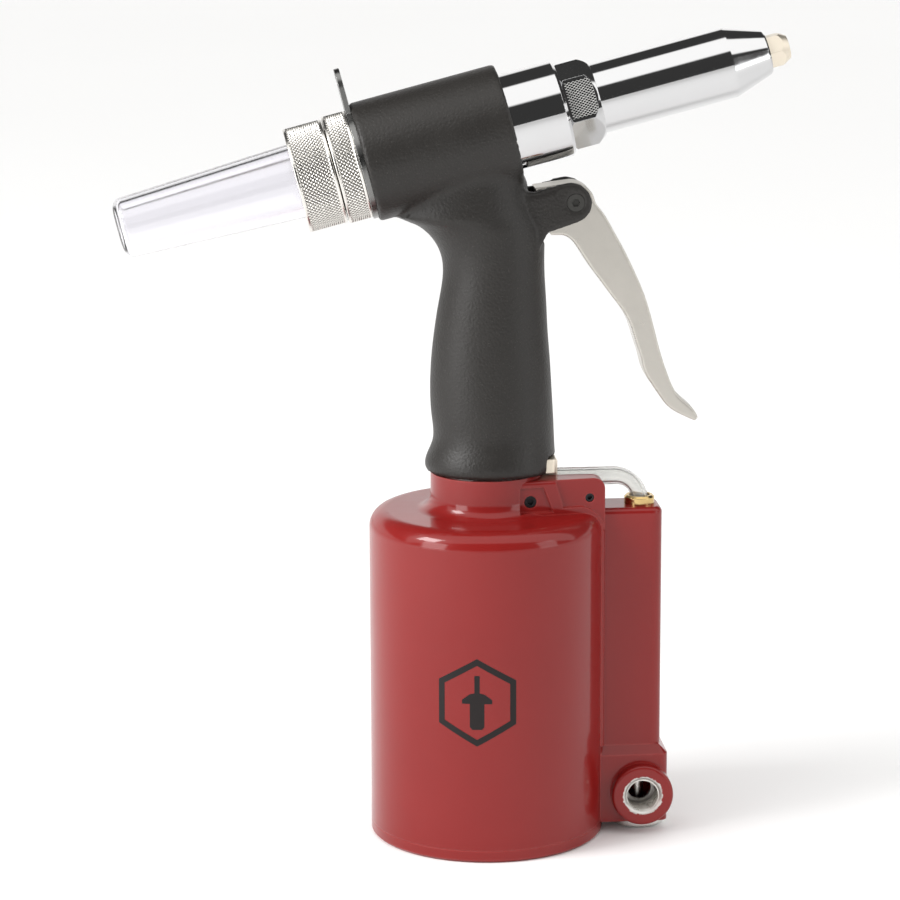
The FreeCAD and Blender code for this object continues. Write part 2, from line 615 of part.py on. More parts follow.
def signal_block():
    """Hose block with the hose bore and the way up into the handle."""
    body = block(BLOCK2_REAR, BLOCK2_X, -BLOCK2_W, BLOCK2_W, BLOCK2_LOW, BLOCK2_TOP)
    corner = [e for e in body.Edges if e.BoundBox.XMin > BLOCK2_X - 1e-6]
    body = body.makeFillet(0.8, corner)
    tab = block(TAB_X[0], TAB_X[1], TAB_Y, 0, NECK_TOP + TAB_LOW, NECK_TOP + TAB_HIGH)
    corner = [e for e in edges_at(tab, "XMin", TAB_X[1]) if e.BoundBox.YMax < TAB_Y + 1]
    body = body.fuse(tab.makeFillet(2.0, corner))
    start = BLOCK2_X - HOSE_IN
    bore = bar(HOSE_R + 0.05, start, BLOCK2_X + 1, 0, HOSE_Z)
    way = bar(SIGNAL_R, SIGNAL_X, start + 1, 0, HOSE_Z)
    up = rod(SIGNAL_R, HOSE_Z, BLOCK2_TOP + 1, SIGNAL_X)
    return body.cut([bore, way, up])


# ================================================================ hose and fitting
def hose_body(radius):
    """Level run, quarter bend and drop into the fitting, as one solid."""
    start = BLOCK2_X - HOSE_IN
    bend_x = VALVE_X - HOSE_BEND
    bend_z = HOSE_Z - HOSE_BEND
    level = bar(radius, start, bend_x, 0, HOSE_Z)
    circle = Part.Face(Part.Wire([Part.makeCircle(radius, V(bend_x, 0, HOSE_Z), V(1, 0, 0))]))
    bend = circle.revolve(V(bend_x, 0, bend_z), V(0, 1, 0), 90)
    drop = rod(radius, HOSE_END, bend_z, VALVE_X)
    return level.fuse([bend, drop])


def signal_hose():
    return hose_body(HOSE_R).cut(hose_body(HOSE_BORE))


def brass_fitting():
    low = COL_TOP - FIT_SEAT_L
    bore = HOSE_R + 0.05
    profile = [(low, 1.5), (low, FIT_SEAT_R), (COL_TOP, FIT_SEAT_R), (COL_TOP, FIT_R),
               (FIT_TOP - 0.7, FIT_R), (FIT_TOP, FIT_R - 0.7), (FIT_TOP, bore + 0.5),
               (FIT_TOP - 2.6, bore), (HOSE_END, bore), (HOSE_END, 1.5)]
    piece = turned(profile, "Z")
    piece.translate(V(VALVE_X, 0, 0))
    return piece


# ================================================================ main valve
def valve_plug():
    low = PLUG_GROOVE
    high = low + 1.7
    foot = PLUG_SEAT_R - 1.3
    profile = [(PLUG_LOW, 0), (PLUG_LOW, PLUG_R - 0.7), (PLUG_LOW + 0.7, PLUG_R), (BLOCK_LOW, PLUG_R),
               (BLOCK_LOW, PLUG_SEAT_R), (low, PLUG_SEAT_R), (low, foot), (high, foot),
               (high, PLUG_SEAT_R), (PLUG_TOP, PLUG_SEAT_R), (PLUG_TOP, 0)]
    piece = turned(profile, "Z")
    socket = hexagon(8.0, 0, 2.6)
    socket.rotate(V(0, 0, 0), V(0, 1, 0), -90)
    socket.translate(V(0, 0, PLUG_LOW - 0.1))
    piece = piece.cut(socket)
    piece.translate(V(VALVE_X, 0, 0))
    return piece


def valve_spool():
    land = VALVE_R - RUN
    groove = land - 1.5
    low = SPOOL_LOW
    high = SPOOL_TOP
    profile = [(PLUG_TOP, 0), (PLUG_TOP, 2.4), (low, 2.4), (low, land), (low + 4, land), (low + 4, groove),
               (low + 6, groove), (low + 6, land), (low + 10, land), (low + 10, 2.8), (high - 14, 2.8),
               (high - 14, land), (high - 9, land), (high - 9, groove), (high - 7, groove),
               (high - 7, land), (high - 2, land), (high - 2, 2.6), (high, 2.6), (high, 0)]
    piece = turned(profile, "Z")
    piece.translate(V(VALVE_X, 0, 0))
    return piece


def spool_seal(station):
    return oring(VALVE_R - RUN - 1.5, VALVE_R, station, "Z", VALVE_X)


# ================================================================ hydraulic head
def front_gland():
    bore = ROD_R + RUN
    groove = bore + 1.9
    profile = [(GLAND_REAR, bore), (GLAND_REAR, GLAND_SEAT_R), (HEAD_FRONT - 2.6, GLAND_SEAT_R),
               (HEAD_FRONT - 2.6, GLAND_SEAT_R - 1.6), (HEAD_FRONT - 0.6, GLAND_SEAT_R - 1.6),
               (HEAD_FRONT - 0.6, GLAND_SEAT_R), (HEAD_FRONT, GLAND_SEAT_R),
               (HEAD_FRONT, GLAND_R), (GLAND_END - 1, GLAND_R), (GLAND_END, GLAND_R - 1),
               (GLAND_END, NOSE_SEAT_R), (NOSE_SEAT_END, NOSE_SEAT_R), (NOSE_SEAT_END, ROD_R + 2.4),
               (18.0, ROD_R + 2.4), (16.0, bore), (2.0, bore), (2.0, groove), (0.0, groove), (0.0, bore)]
    return on_head(turned(profile))


def nose_housing():
    hexa = hexagon(HEX_AF, GLAND_END, HEX_END, HEX_TURN)
    corner = HEX_AF / 2 / math.cos(math.radians(30))
    dress = turned([(GLAND_END - 1, 0), (GLAND_END - 1, corner - 2.2), (GLAND_END + 1.0, corner + 0.02),
                    (HEX_END - 3.2, corner + 0.02), (HEX_END, NOSE_R + 0.6), (HEX_END, 0)])
    hexa = hexa.common(dress)
    barrel = turned([(GLAND_END, 0), (GLAND_END, NOSE_R), (CONE_START, NOSE_R),
                     (CONE_END - 0.6, CONE_R + 0.2), (CONE_END, CONE_R - 0.4), (CONE_END, 0)])
    seat = NOSE_SEAT_R + SEAT
    tip_seat = TIP_SEAT_R + SEAT
    bore = turned([(GLAND_END - 1, 0), (GLAND_END - 1, seat), (NOSE_SEAT_END, seat),
                   (NOSE_SEAT_END, NOSE_BORE), (CONE_START - 2.5, NOSE_BORE), (CONE_START + 0.5, tip_seat),
                   (CONE_END + 1, tip_seat), (CONE_END + 1, 0)])
    return on_head(hexa.fuse(barrel).cut(bore))


def nosepiece():
    hexa = hexagon(TIP_AF, CONE_END, TIP_END, 0.0)
    corner = TIP_AF / 2 / math.cos(math.radians(30))
    dress = turned([(CONE_END, 0), (CONE_END, corner + 0.02), (TIP_END - 3.4, corner + 0.02),
                    (TIP_END, 4.0), (TIP_END, 0)])
    rear = JAW_FRONT + 0.1
    thread = CONE_START + 1.0
    tail = turned([(rear, 0), (rear, TIP_TAIL_R - 0.8), (rear + 0.8, TIP_TAIL_R), (thread, TIP_TAIL_R),
                   (thread, TIP_SEAT_R), (CONE_END, TIP_SEAT_R), (CONE_END, 0)])
    piece = hexa.common(dress).fuse(tail)
    piece = piece.cut(bar(MANDREL_R, JAW_FRONT - 1, TIP_END + 1))
    return on_head(piece)


def head_piston():
    land = BORE_R - RUN
    rear = PIST_FRONT - PIST_L
    groove = land - 2.2
    bore = GUIDE_R + SEAT
    thread = CASE_REAR + CASE_SEAT
    profile = [(rear, bore), (rear, land - 0.6), (rear + 0.6, land), (rear + 2.4, land),
               (rear + 2.4, groove), (rear + 4.8, groove), (rear + 4.8, land), (rear + 7.2, land),
               (rear + 7.2, groove), (rear + 9.6, groove), (rear + 9.6, land), (PIST_FRONT, land),
               (PIST_FRONT, ROD_R), (CASE_REAR, ROD_R), (CASE_REAR, CASE_SEAT_R), (thread, CASE_SEAT_R),
               (thread, GUIDE_BORE), (14.0, GUIDE_BORE), (14.0, bore)]
    return on_head(turned(profile))


def jaw_case():
    slope = math.tan(math.radians(JAW_ANGLE))
    mouth = 3.6
    foot = JAW_REAR - 3.0
    deep = mouth + (CASE_END - foot) * slope
    thread = CASE_REAR + CASE_SEAT
    seat = CASE_SEAT_R + SEAT
    profile = [(CASE_REAR, seat), (CASE_REAR, CASE_R - 0.8), (CASE_REAR + 0.8, CASE_R),
               (CASE_END - 1.5, CASE_R), (CASE_END, CASE_R - 2.5), (CASE_END, mouth),
               (foot, deep), (thread, deep), (thread, seat)]
    return on_head(turned(profile))


def jaw(index):
    """One third of a cone, held clear of its neighbours and of the case."""
    slope = math.tan(math.radians(JAW_ANGLE))
    mouth = 3.6 - 0.25
    outer_rear = mouth + (CASE_END - JAW_REAR) * slope
    outer_front = mouth + (CASE_END - JAW_FRONT) * slope
    teeth = [(JAW_FRONT, MANDREL_R + 0.9), (JAW_FRONT - 1.0, MANDREL_R + 0.35)]
    for k in range(5):
        u = JAW_FRONT - 1.0 - 1.6 * k
        teeth += [(u - 1.2, MANDREL_R + 0.35), (u - 1.3, MANDREL_R + 0.75), (u - 1.6, MANDREL_R + 0.35)]
    profile = teeth + [(JAW_REAR, MANDREL_R + 0.9), (JAW_REAR, outer_rear), (JAW_FRONT, outer_front)]
    body = turned(profile)
    wedge = [V(JAW_REAR - 1, 0.9, 0)]
    for a in (-52, 0, 52):
        wedge.append(V(JAW_REAR - 1, 20 * math.cos(math.radians(a)), 20 * math.sin(math.radians(a))))
    sector = Part.Face(Part.makePolygon(wedge + [wedge[0]])).extrude(V(20, 0, 0))
    piece = body.common(sector)
    piece.rotate(V(0, 0, 0), V(1, 0, 0), 90 + 120 * index)
    return on_head(piece)


def jaw_pusher():
    rear = JAW_SPRING_END
    profile = [(rear, GUIDE_BORE), (rear, 6.4), (rear + 3.5, 6.4), (JAW_REAR, 5.2), (JAW_REAR, GUIDE_BORE)]
    return on_head(turned(profile))


def mandrel_tube():
    return on_head(ring(GUIDE_BORE, GUIDE_R, GUIDE_REAR, 14.0))


# ================================================================ rear of the head
def hanger_plate():
    plate = ring(GLAND_SEAT_R + GAP, HANGER_R, PLATE_REAR, HEAD_REAR)
    half = 6.0
    tab = Part.makeBox(HANGER_T, 2 * half, HANGER_TIP - half - 17.5, V(PLATE_REAR, -half, 17.5))
    tip = bar(half, PLATE_REAR, HEAD_REAR, 0, HANGER_TIP - half)
    eye = bar(EYE_R, PLATE_REAR - 1, HEAD_REAR + 1, 0, HANGER_EYE)
    return on_head(plate.fuse([tab, tip]).cut(eye))


def end_cap():
    bore = GUIDE_R + 0.4
    profile = [(HEAD_REAR + 4.6, bore), (HEAD_REAR + 4.6, GLAND_SEAT_R), (PLATE_REAR, GLAND_SEAT_R),
               (PLATE_REAR, CAP_R - 0.7), (PLATE_REAR - 0.7, CAP_R), (CAP_REAR + 0.7, CAP_R),
               (CAP_REAR, CAP_R - 0.7), (CAP_REAR, SCREW_R), (CAP_REAR - 4.6, SCREW_R),
               (CAP_REAR - 4.6, 9.5), (CAP_REAR + 4.0, 9.5), (CAP_REAR + 5.0, bore)]
    return on_head(turned(profile))


def collector_ring():
    seat = SCREW_R + RUN
    profile = [(RING_FRONT, seat), (RING_FRONT, RING_R - 0.7), (RING_FRONT - 0.7, RING_R),
               (RING_REAR + 0.7, RING_R), (RING_REAR, RING_R - 0.7), (RING_REAR, BOTTLE_R + GAP),
               (FLANGE_REAR - 0.03, BOTTLE_R + GAP), (FLANGE_REAR - 0.03, seat)]
    return on_head(turned(profile))


def collector_bottle():
    """Clear tapered bottle with a flange at its mouth and a rounded closed end."""
    inner_end = BOTTLE_END + BOTTLE_WALL
    mouth = BOTTLE_R - BOTTLE_WALL
    corner = 3.5
    inner_corner = corner - BOTTLE_WALL
    slope = (BOTTLE_R - BOTTLE_END_R) / (FLANGE_REAR - BOTTLE_END)
    outer_start = BOTTLE_END_R + corner * slope
    half = math.sin(math.radians(45))
    outer_arc = Part.Arc(V(BOTTLE_END + corner, 0, outer_start),
                         V(BOTTLE_END + corner * (1 - half), 0, outer_start - corner * (1 - half)),
                         V(BOTTLE_END, 0, outer_start - corner))
    in_r = outer_start - BOTTLE_WALL
    inner_arc = Part.Arc(V(inner_end, 0, in_r - inner_corner),
                         V(inner_end + inner_corner * (1 - half), 0, in_r - inner_corner * (1 - half)),
                         V(inner_end + inner_corner, 0, in_r))
    chain = [(BOTTLE_END, outer_start - corner), (BOTTLE_END, 0), (inner_end, 0),
             (inner_end, in_r - inner_corner)]
    rest = [(inner_end + inner_corner, in_r), (FLANGE_FRONT, mouth), (FLANGE_FRONT, SCREW_R - 0.2),
            (FLANGE_REAR, SCREW_R - 0.2), (FLANGE_REAR, BOTTLE_R), (BOTTLE_END + corner, outer_start)]
    edges = [outer_arc.toShape()]
    edges += [Part.makeLine(V(a[0], 0, a[1]), V(b[0], 0, b[1])) for a, b in zip(chain, chain[1:])]
    edges.append(inner_arc.toShape())
    edges += [Part.makeLine(V(a[0], 0, a[1]), V(b[0], 0, b[1])) for a, b in zip(rest, rest[1:])]
    wire = Part.Wire(Part.__sortEdges__(edges))
    return on_head(Part.Face(wire).revolve(V(0, 0, 0), V(1, 0, 0), 360))


def bottle_gasket():
    return on_head(ring(BOTTLE_R - 1.6, SCREW_R - 0.4, FLANGE_FRONT, CAP_REAR - 4.6))


# ================================================================ trigger and pilot valve
def curve(points):
    """Smooth edge through the points, on the lever's near side."""
    line = Part.BSplineCurve()
    line.interpolate([V(x, -LEVER_W, z) for x, z in points])
    return line.toShape()


def chords(points):
    """Straight edges from point to point, on the lever's near side."""
    vecs = [V(x, -LEVER_W, z) for x, z in points]
    return [Part.makeLine(a, b) for a, b in zip(vecs, vecs[1:])]


def trigger():
    front = about_pivot(LEVER_FRONT)
    back = about_pivot(LEVER_BACK)
    heel = about_pivot(LEVER_HEEL)
    edges = [curve(front), curve(back)]
    edges += chords([front[-1], back[0]])
    edges += chords([back[-1]] + heel + [front[0]])
    body = Part.Face(Part.Wire(Part.__sortEdges__(edges))).extrude(V(0, 2 * LEVER_W, 0))
    rims = [e for e in body.Edges if e.BoundBox.YLength < 1e-6 and e.Length > 40]
    body = body.makeFillet(LEVER_ROUND, rims)
    hole = Part.makeCylinder(PIN_R + RUN, 40, V(PIVOT_X, -20, PIVOT_Z), V(0, 1, 0))
    return body.cut(hole)


def trigger_pin():
    shank = Part.makeCylinder(PIN_R, 2 * EAR_OUT - 0.9, V(PIVOT_X, -EAR_OUT + 0.2, PIVOT_Z), V(0, 1, 0))
    head = Part.makeCylinder(3.0, 1.0, V(PIVOT_X, -EAR_OUT + 0.2, PIVOT_Z), V(0, 1, 0))
    socket = hexagon(2.5, 0, 0.9)
    socket.rotate(V(0, 0, 0), V(0, 0, 1), 90)
    socket.translate(V(PIVOT_X, -EAR_OUT + 0.1, PIVOT_Z))
    return shank.fuse(head).cut(socket)


def pin_clip():
    clip = ring(PIN_R + 0.02, 2.9, 0, 0.6)
    clip.rotate(V(0, 0, 0), V(0, 0, 1), 90)
    clip.translate(V(PIVOT_X, EAR_OUT - 1.2, PIVOT_Z))
    return clip


def pilot_body():
    """Brass bush that guides the pilot stem."""
    bore = STEM_R + RUN
    guide = PILOT_FRONT - PILOT_GUIDE
    piece = turned([(PILOT_REAR, PILOT_ROOM), (PILOT_REAR, PILOT_R), (PILOT_FRONT, PILOT_R),
                    (PILOT_FRONT, bore), (guide, bore), (guide, PILOT_ROOM)])
    piece.translate(V(0, 0, PILOT_Z))
    return piece


def pilot_stem():
    rear = PILOT_REAR + 0.3
    collar = SEAL_FRONT - SEAL_L
    flange = SEAL_FRONT - FLANGE_BACK
    piece = turned([(rear, 0), (rear, 1.2), (flange, 1.2), (flange, SEAL_R), (collar, SEAL_R),
                    (collar, STEM_R), (STEM_TIP - 0.4, STEM_R), (STEM_TIP, STEM_R - 0.4), (STEM_TIP, 0)])
    piece.translate(V(0, 0, PILOT_Z))
    return piece


def pilot_seal():
    piece = ring(STEM_R + 0.02, SEAL_R, SEAL_FRONT - SEAL_L, SEAL_FRONT)
    piece.translate(V(0, 0, PILOT_Z))
    return piece


# ================================================================ write every piece
def main():
    save("cylinder_casting", cylinder_casting())
    save("base_cap", base_cap())
    inner = CYL_R - CYL_WALL
    save("base_cap_oring", oring(inner - SEAT - 1.6, inner, 6.0, "Z"))
    save("base_bumper", ring(22.0, 26.0, CAP_PLATE, CAP_PLATE + BUMPER_H, "Z"))
    save("port_screw", set_screw(*SCREWS[0]))
    save("drill_screw", set_screw(*SCREWS[1]))

    save("air_piston", air_piston())
    save("air_piston_seal", oring(inner - GAP - RING_GROOVE, inner, PISTON_LOW + 6.5, "Z"))
    save("ram_rod", ram_rod())
    save("piston_nut", piston_nut())
    seat = PISTON_LOW + PISTON_H - SPRING_SUNK
    save("return_spring", coil(SPRING_R, SPRING_WIRE, seat, CYL_TOP - ROOF, SPRING_TURNS, "Z"))

    save("handle_casting", handle_casting())
    save("grip_sleeve", grip_sleeve())
    save("handle_nut", handle_nut())
    save("oil_tube", oil_tube())
    save("ram_gland", ram_gland())
    save("ram_seal", ring(RAM_R + RUN, RAM_R + RUN + 1.9, TUBE_LOW - 3.0, TUBE_LOW, "Z"))
    save("signal_block", signal_block())
    save("signal_hose", signal_hose())
    save("brass_fitting", brass_fitting())

    save("valve_plug", valve_plug())
    groove = PLUG_GROOVE + 0.85
    save("plug_oring", oring(PLUG_SEAT_R - 1.3, PLUG_SEAT_R + SEAT, groove, "Z", VALVE_X))
    save("valve_spool", valve_spool())
    save("spool_seal_low", spool_seal(SPOOL_LOW + 5.0))
    save("spool_seal_high", spool_seal(SPOOL_TOP - 8.0))
    radius = VALVE_R - 1.4
    save("valve_spring", coil(radius, VALVE_WIRE, SPOOL_TOP - 2.0, VALVE_TOP, 6.0, "Z", VALVE_X))

    save("front_gland", front_gland())
    save("rod_seal", on_head(ring(ROD_R + RUN, ROD_R + RUN + 1.8, 0.0, 2.0)))
    groove = GLAND_SEAT_R - 1.6
    save("front_gland_oring", on_head(oring(groove, GLAND_SEAT_R + SEAT, HEAD_FRONT - 1.6)))
    save("nose_housing", nose_housing())
    save("nosepiece", nosepiece())
    save("head_piston", head_piston())
    rear = PIST_FRONT - PIST_L
    save("piston_seal_a", on_head(oring(BORE_R - RUN - 2.2, BORE_R, rear + 3.6)))
    save("piston_seal_b", on_head(oring(BORE_R - RUN - 2.2, BORE_R, rear + 8.4)))
    save("mandrel_tube", mandrel_tube())
    save("jaw_case", jaw_case())
    save("jaw_pusher", jaw_pusher())
    low = CASE_REAR + CASE_SEAT
    save("jaw_spring", on_head(coil(JAW_SPRING_R, JAW_WIRE, low, JAW_SPRING_END, 3.0)))
    for k in range(3):
        save("jaw_" + str(k + 1), jaw(k))

    save("hanger_plate", hanger_plate())
    save("end_cap", end_cap())
    save("collector_ring", collector_ring())
    save("collector_bottle", collector_bottle())
    save("bottle_gasket", bottle_gasket())

    save("trigger", trigger())
    save("trigger_pin", trigger_pin())
    save("pin_clip", pin_clip())
    save("pilot_body", pilot_body())
    save("pilot_stem", pilot_stem())
    save("pilot_seal", pilot_seal())
    low = PILOT_REAR - 3.0
    high = SEAL_FRONT - FLANGE_BACK
    save("pilot_spring", coil(PILOT_SPRING_R, PILOT_WIRE, low, high, 5.0, "X", 0, 0, PILOT_Z))


main()
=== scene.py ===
import json
import math
import bmesh
import bpy
import numpy as np
from mathutils import Matrix, Vector


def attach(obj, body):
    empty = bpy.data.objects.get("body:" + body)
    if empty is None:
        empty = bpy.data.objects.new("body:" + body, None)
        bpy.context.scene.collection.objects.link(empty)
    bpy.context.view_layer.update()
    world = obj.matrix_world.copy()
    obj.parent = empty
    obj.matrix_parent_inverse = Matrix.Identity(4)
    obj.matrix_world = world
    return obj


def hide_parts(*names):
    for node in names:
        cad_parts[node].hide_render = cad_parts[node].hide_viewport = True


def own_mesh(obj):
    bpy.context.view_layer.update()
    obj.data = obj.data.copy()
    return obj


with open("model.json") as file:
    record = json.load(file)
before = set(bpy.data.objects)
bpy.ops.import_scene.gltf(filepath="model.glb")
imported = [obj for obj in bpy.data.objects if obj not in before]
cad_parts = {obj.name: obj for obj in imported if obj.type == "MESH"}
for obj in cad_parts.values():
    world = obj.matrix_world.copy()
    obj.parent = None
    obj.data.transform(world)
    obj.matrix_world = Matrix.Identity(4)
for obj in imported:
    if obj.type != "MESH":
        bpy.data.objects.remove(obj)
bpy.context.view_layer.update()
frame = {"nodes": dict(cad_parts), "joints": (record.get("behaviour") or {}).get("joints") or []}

# ---------------------------------------------------------------- viewpoint
# A long lens that looks down on the tool a little, from a few degrees to its
# left, as for a catalogue plate.
BEARING = math.radians(-5.0)
RISE = math.radians(12.55)
ROLL = math.radians(-0.2)
DISTANCE = 1.221
AIM_SIDE, AIM_HEIGHT = -0.0126, 0.1375
FOCAL_LENGTH, FILM_WIDTH, FARTHEST = 140, 36, 50

scene = bpy.context.scene
scene.view_settings.view_transform = "Standard"
back = Vector((math.sin(BEARING) * math.cos(RISE), -math.cos(BEARING) * math.cos(RISE), math.sin(RISE)))
right = Vector((0, 0, 1)).cross(back).normalized()
up = back.cross(right)
aim = Vector((right.x * AIM_SIDE, right.y * AIM_SIDE, AIM_HEIGHT))
side = right * math.cos(ROLL) + up * math.sin(ROLL)
top = up * math.cos(ROLL) - right * math.sin(ROLL)
lens = bpy.data.cameras.new("long_lens")
lens.lens = FOCAL_LENGTH
lens.sensor_width = FILM_WIDTH
lens.clip_end = FARTHEST
camera = bpy.data.objects.new("long_lens", lens)
scene.collection.objects.link(camera)
view = Matrix((side, top, back)).transposed().to_4x4()
view.translation = aim + back * DISTANCE
camera.matrix_world = view
scene.camera = camera


# ---------------------------------------------------------------- table and light
# A white table without an edge, in a dark room with a wide band of soft light
# overhead and a bright wall behind. A square soft light hangs high at the left;
# tall ones stand at the left and, weaker, at the right.
def node(tree, kind, settings=None, **inputs):
    """New shader node.

    A socket is named with _ for a space, or by its number as in0, in1."""
    made = tree.nodes.new("ShaderNode" + kind)
    for key, value in (settings or {}).items():
        setattr(made, key, value)
    for key, value in inputs.items():
        numbered = key[:2] == "in" and key[2:].isdigit()
        socket = made.inputs[int(key[2:]) if numbered else key.replace("_", " ")]
        if isinstance(value, bpy.types.NodeSocket):
            tree.links.new(value, socket)
        else:
            socket.default_value = value
    return made


def math_node(tree, operation, *values):
    """Result of one arithmetic node."""
    inputs = {f"in{i}": value for i, value in enumerate(values)}
    return node(tree, "Math", {"operation": operation}, **inputs).outputs[0]


def soft_step(tree, value, low, high):
    """Smooth step from 0 at low to 1 at high."""
    return node(tree, "MapRange", {"interpolation_type": "SMOOTHSTEP"}, Value=value,
                From_Min=low, From_Max=high).outputs["Result"]


def mix(tree, kind, share, first, second):
    """First at a share of 0 and second at 1; kind is FLOAT, VECTOR or RGBA.

    A Mix node keeps a pair of inputs and an output for each kind."""
    pair, result = {"FLOAT": (2, 0), "VECTOR": (4, 1), "RGBA": (6, 2)}[kind]
    inputs = {"in0": share, f"in{pair}": first, f"in{pair + 1}": second}
    return node(tree, "Mix", {"data_type": kind}, **inputs).outputs[result]


def new_material(name, **sockets):
    """Material with one Principled shader; the sockets given are set on the shader itself."""
    made = bpy.data.materials.new(name)
    made.use_nodes = True
    tree = made.node_tree
    shader = tree.nodes["Principled BSDF"]
    for key, value in sockets.items():
        shader.inputs[key.replace("_", " ")].default_value = value
    return made, tree, shader


# Angles go round the tool's length, from level in front (0) over the top (90) to behind.
BAND_LOW, BAND_HIGH, BAND_SOFT = math.radians(45), math.radians(99), math.radians(3)
WALL_TOP, WALL_FULL, WALL_SHARE = math.radians(148), math.radians(158), 0.75
ROOM_DARK, ROOM_BRIGHT = 0.055, 1.58
ROOM_DIFFUSE, ROOM_SEEN = 0.86, 1.0
ROOM_TINT = (1.0, 0.995, 0.985, 1.0)
world = bpy.data.worlds.new("studio")
scene.world = world
world.use_nodes = True
sky = world.node_tree
sky.nodes.clear()
direction = node(sky, "SeparateXYZ", Vector=node(sky, "TexCoord").outputs["Generated"])
ahead = math_node(sky, "MULTIPLY", direction.outputs["Y"], -1.0)
turned = math_node(sky, "ARCTAN2", direction.outputs["Z"], ahead)
band = math_node(sky, "MULTIPLY", soft_step(sky, turned, BAND_LOW - BAND_SOFT, BAND_LOW + BAND_SOFT),
                 soft_step(sky, turned, BAND_HIGH + BAND_SOFT, BAND_HIGH - BAND_SOFT))
wall = math_node(sky, "MULTIPLY", soft_step(sky, turned, WALL_TOP, WALL_FULL), WALL_SHARE)
bright = math_node(sky, "MAXIMUM", band, wall)
room = node(sky, "MapRange", Value=bright, To_Min=ROOM_DARK, To_Max=ROOM_BRIGHT).outputs["Result"]
paths = node(sky, "LightPath")
lit = mix(sky, "FLOAT", paths.outputs["Is Diffuse Ray"], room, ROOM_DIFFUSE)
seen = mix(sky, "FLOAT", paths.outputs["Is Camera Ray"], lit, ROOM_SEEN)
shown = node(sky, "Background", Color=ROOM_TINT, Strength=seen)
sky.links.new(shown.outputs[0], node(sky, "OutputWorld").inputs["Surface"])


def soft_light(name, place, target, width, height, power):
    """Rectangular soft light that faces its target."""
    data = bpy.data.lights.new(name, "AREA")
    data.shape = "RECTANGLE"
    data.size = width
    data.size_y = height
    data.energy = power
    lamp = bpy.data.objects.new(name, data)
    lamp.location = place
    lamp.rotation_euler = (Vector(target) - Vector(place)).to_track_quat("-Z", "Y").to_euler()
    scene.collection.objects.link(lamp)


soft_light("key_light", place=(-1.10, -0.35, 1.05), target=(0, 0, 0.14), width=0.50, height=0.50, power=14)
soft_light("left_wall", place=(-1.50, -0.95, 0.45), target=(0, 0, 0.12), width=0.8, height=1.1, power=15)
soft_light("right_wall", place=(1.45, -0.95, 0.45), target=(0, 0, 0.12), width=0.6, height=1.1, power=5)

TABLE_HALF = 9.0
TABLE_DARK, TABLE_LIGHT = 0.94, 0.97
bpy.ops.mesh.primitive_grid_add(x_subdivisions=2, y_subdivisions=2, size=2 * TABLE_HALF)
table = bpy.context.object
table.name = "table_top"
table_white, tree, shader = new_material("table_white", Roughness=0.9)
cloud = node(tree, "TexNoise", Vector=node(tree, "TexCoord").outputs["Object"], Scale=1.5)
shade = node(tree, "MapRange", Value=cloud.outputs["Fac"], To_Min=TABLE_DARK,
             To_Max=TABLE_LIGHT).outputs["Result"]
white = node(tree, "CombineColor", Red=shade, Green=shade, Blue=shade)
tree.links.new(white.outputs[0], shader.inputs["Base Color"])
table.data.materials.append(table_white)


# ---------------------------------------------------------------- shared finishes
# Shader groups for what several finishes of the tool share: soft edges with a mask for a painted
# edge highlight, a cloudy unevenness from handling, and the fine lines that turning leaves.
def new_group(name, inputs, outputs):
    """Empty shader node group with named sockets, as pairs of a label and vector or value."""
    group = bpy.data.node_groups.new(name, "ShaderNodeTree")
    kinds = {"vector": "NodeSocketVector", "value": "NodeSocketFloat"}
    for way, sockets in (("INPUT", inputs), ("OUTPUT", outputs)):
        for label, kind in sockets:
            group.interface.new_socket(name=label, in_out=way, socket_type=kinds[kind])
    return group, group.nodes.new("NodeGroupInput"), group.nodes.new("NodeGroupOutput")


def use_group(tree, group, **inputs):
    """Place a shader group in a material."""
    return node(tree, "Group", {"node_tree": group}, **inputs)


# An edge counts by the cosine between its rounded and its flat normal.
EDGE_NONE, EDGE_FULL = 0.995, 0.90
# Its Edge share marks where finishes paint edges lighter, as a painted highlight.
soft_edges, start, end = new_group("soft_edges", [("Radius", "value")],
                                   [("Normal", "vector"), ("Edge", "value")])
rounded = node(soft_edges, "Bevel", {"samples": 4}, Radius=start.outputs["Radius"])
flat_normal = node(soft_edges, "NewGeometry").outputs["Normal"]
cosine = node(soft_edges, "VectorMath", {"operation": "DOT_PRODUCT"}, in0=rounded.outputs[0],
              in1=flat_normal).outputs["Value"]
soft_edges.links.new(rounded.outputs[0], end.inputs["Normal"])
soft_edges.links.new(soft_step(soft_edges, cosine, EDGE_NONE, EDGE_FULL), end.inputs["Edge"])

CLOUD_LOW, CLOUD_HIGH = 0.32, 0.68
handling, start, end = new_group("handling", [("Coordinates", "vector"), ("Scale", "value"), ("Low", "value"),
                                              ("High", "value")], [("Value", "value"), ("Height", "value")])
cloud = node(handling, "TexNoise", Vector=start.outputs["Coordinates"], Scale=start.outputs["Scale"],
             Detail=6.0, Roughness=0.62)
spread = node(handling, "MapRange", Value=cloud.outputs["Fac"], From_Min=CLOUD_LOW, From_Max=CLOUD_HIGH,
              To_Min=start.outputs["Low"], To_Max=start.outputs["High"])
handling.links.new(spread.outputs["Result"], end.inputs["Value"])
handling.links.new(cloud.outputs["Fac"], end.inputs["Height"])

turned_lines, start, end = new_group("turned_lines", [("Coordinates", "vector"), ("Pitch", "value")],
                                     [("Height", "value")])
along = node(turned_lines, "SeparateXYZ", Vector=start.outputs["Coordinates"]).outputs["X"]
cycles = math_node(turned_lines, "DIVIDE", along, start.outputs["Pitch"])
lines = node(turned_lines, "TexNoise", {"noise_dimensions": "1D"}, W=cycles, Scale=1.0, Detail=3.0)
turned_lines.links.new(lines.outputs["Fac"], end.inputs["Height"])

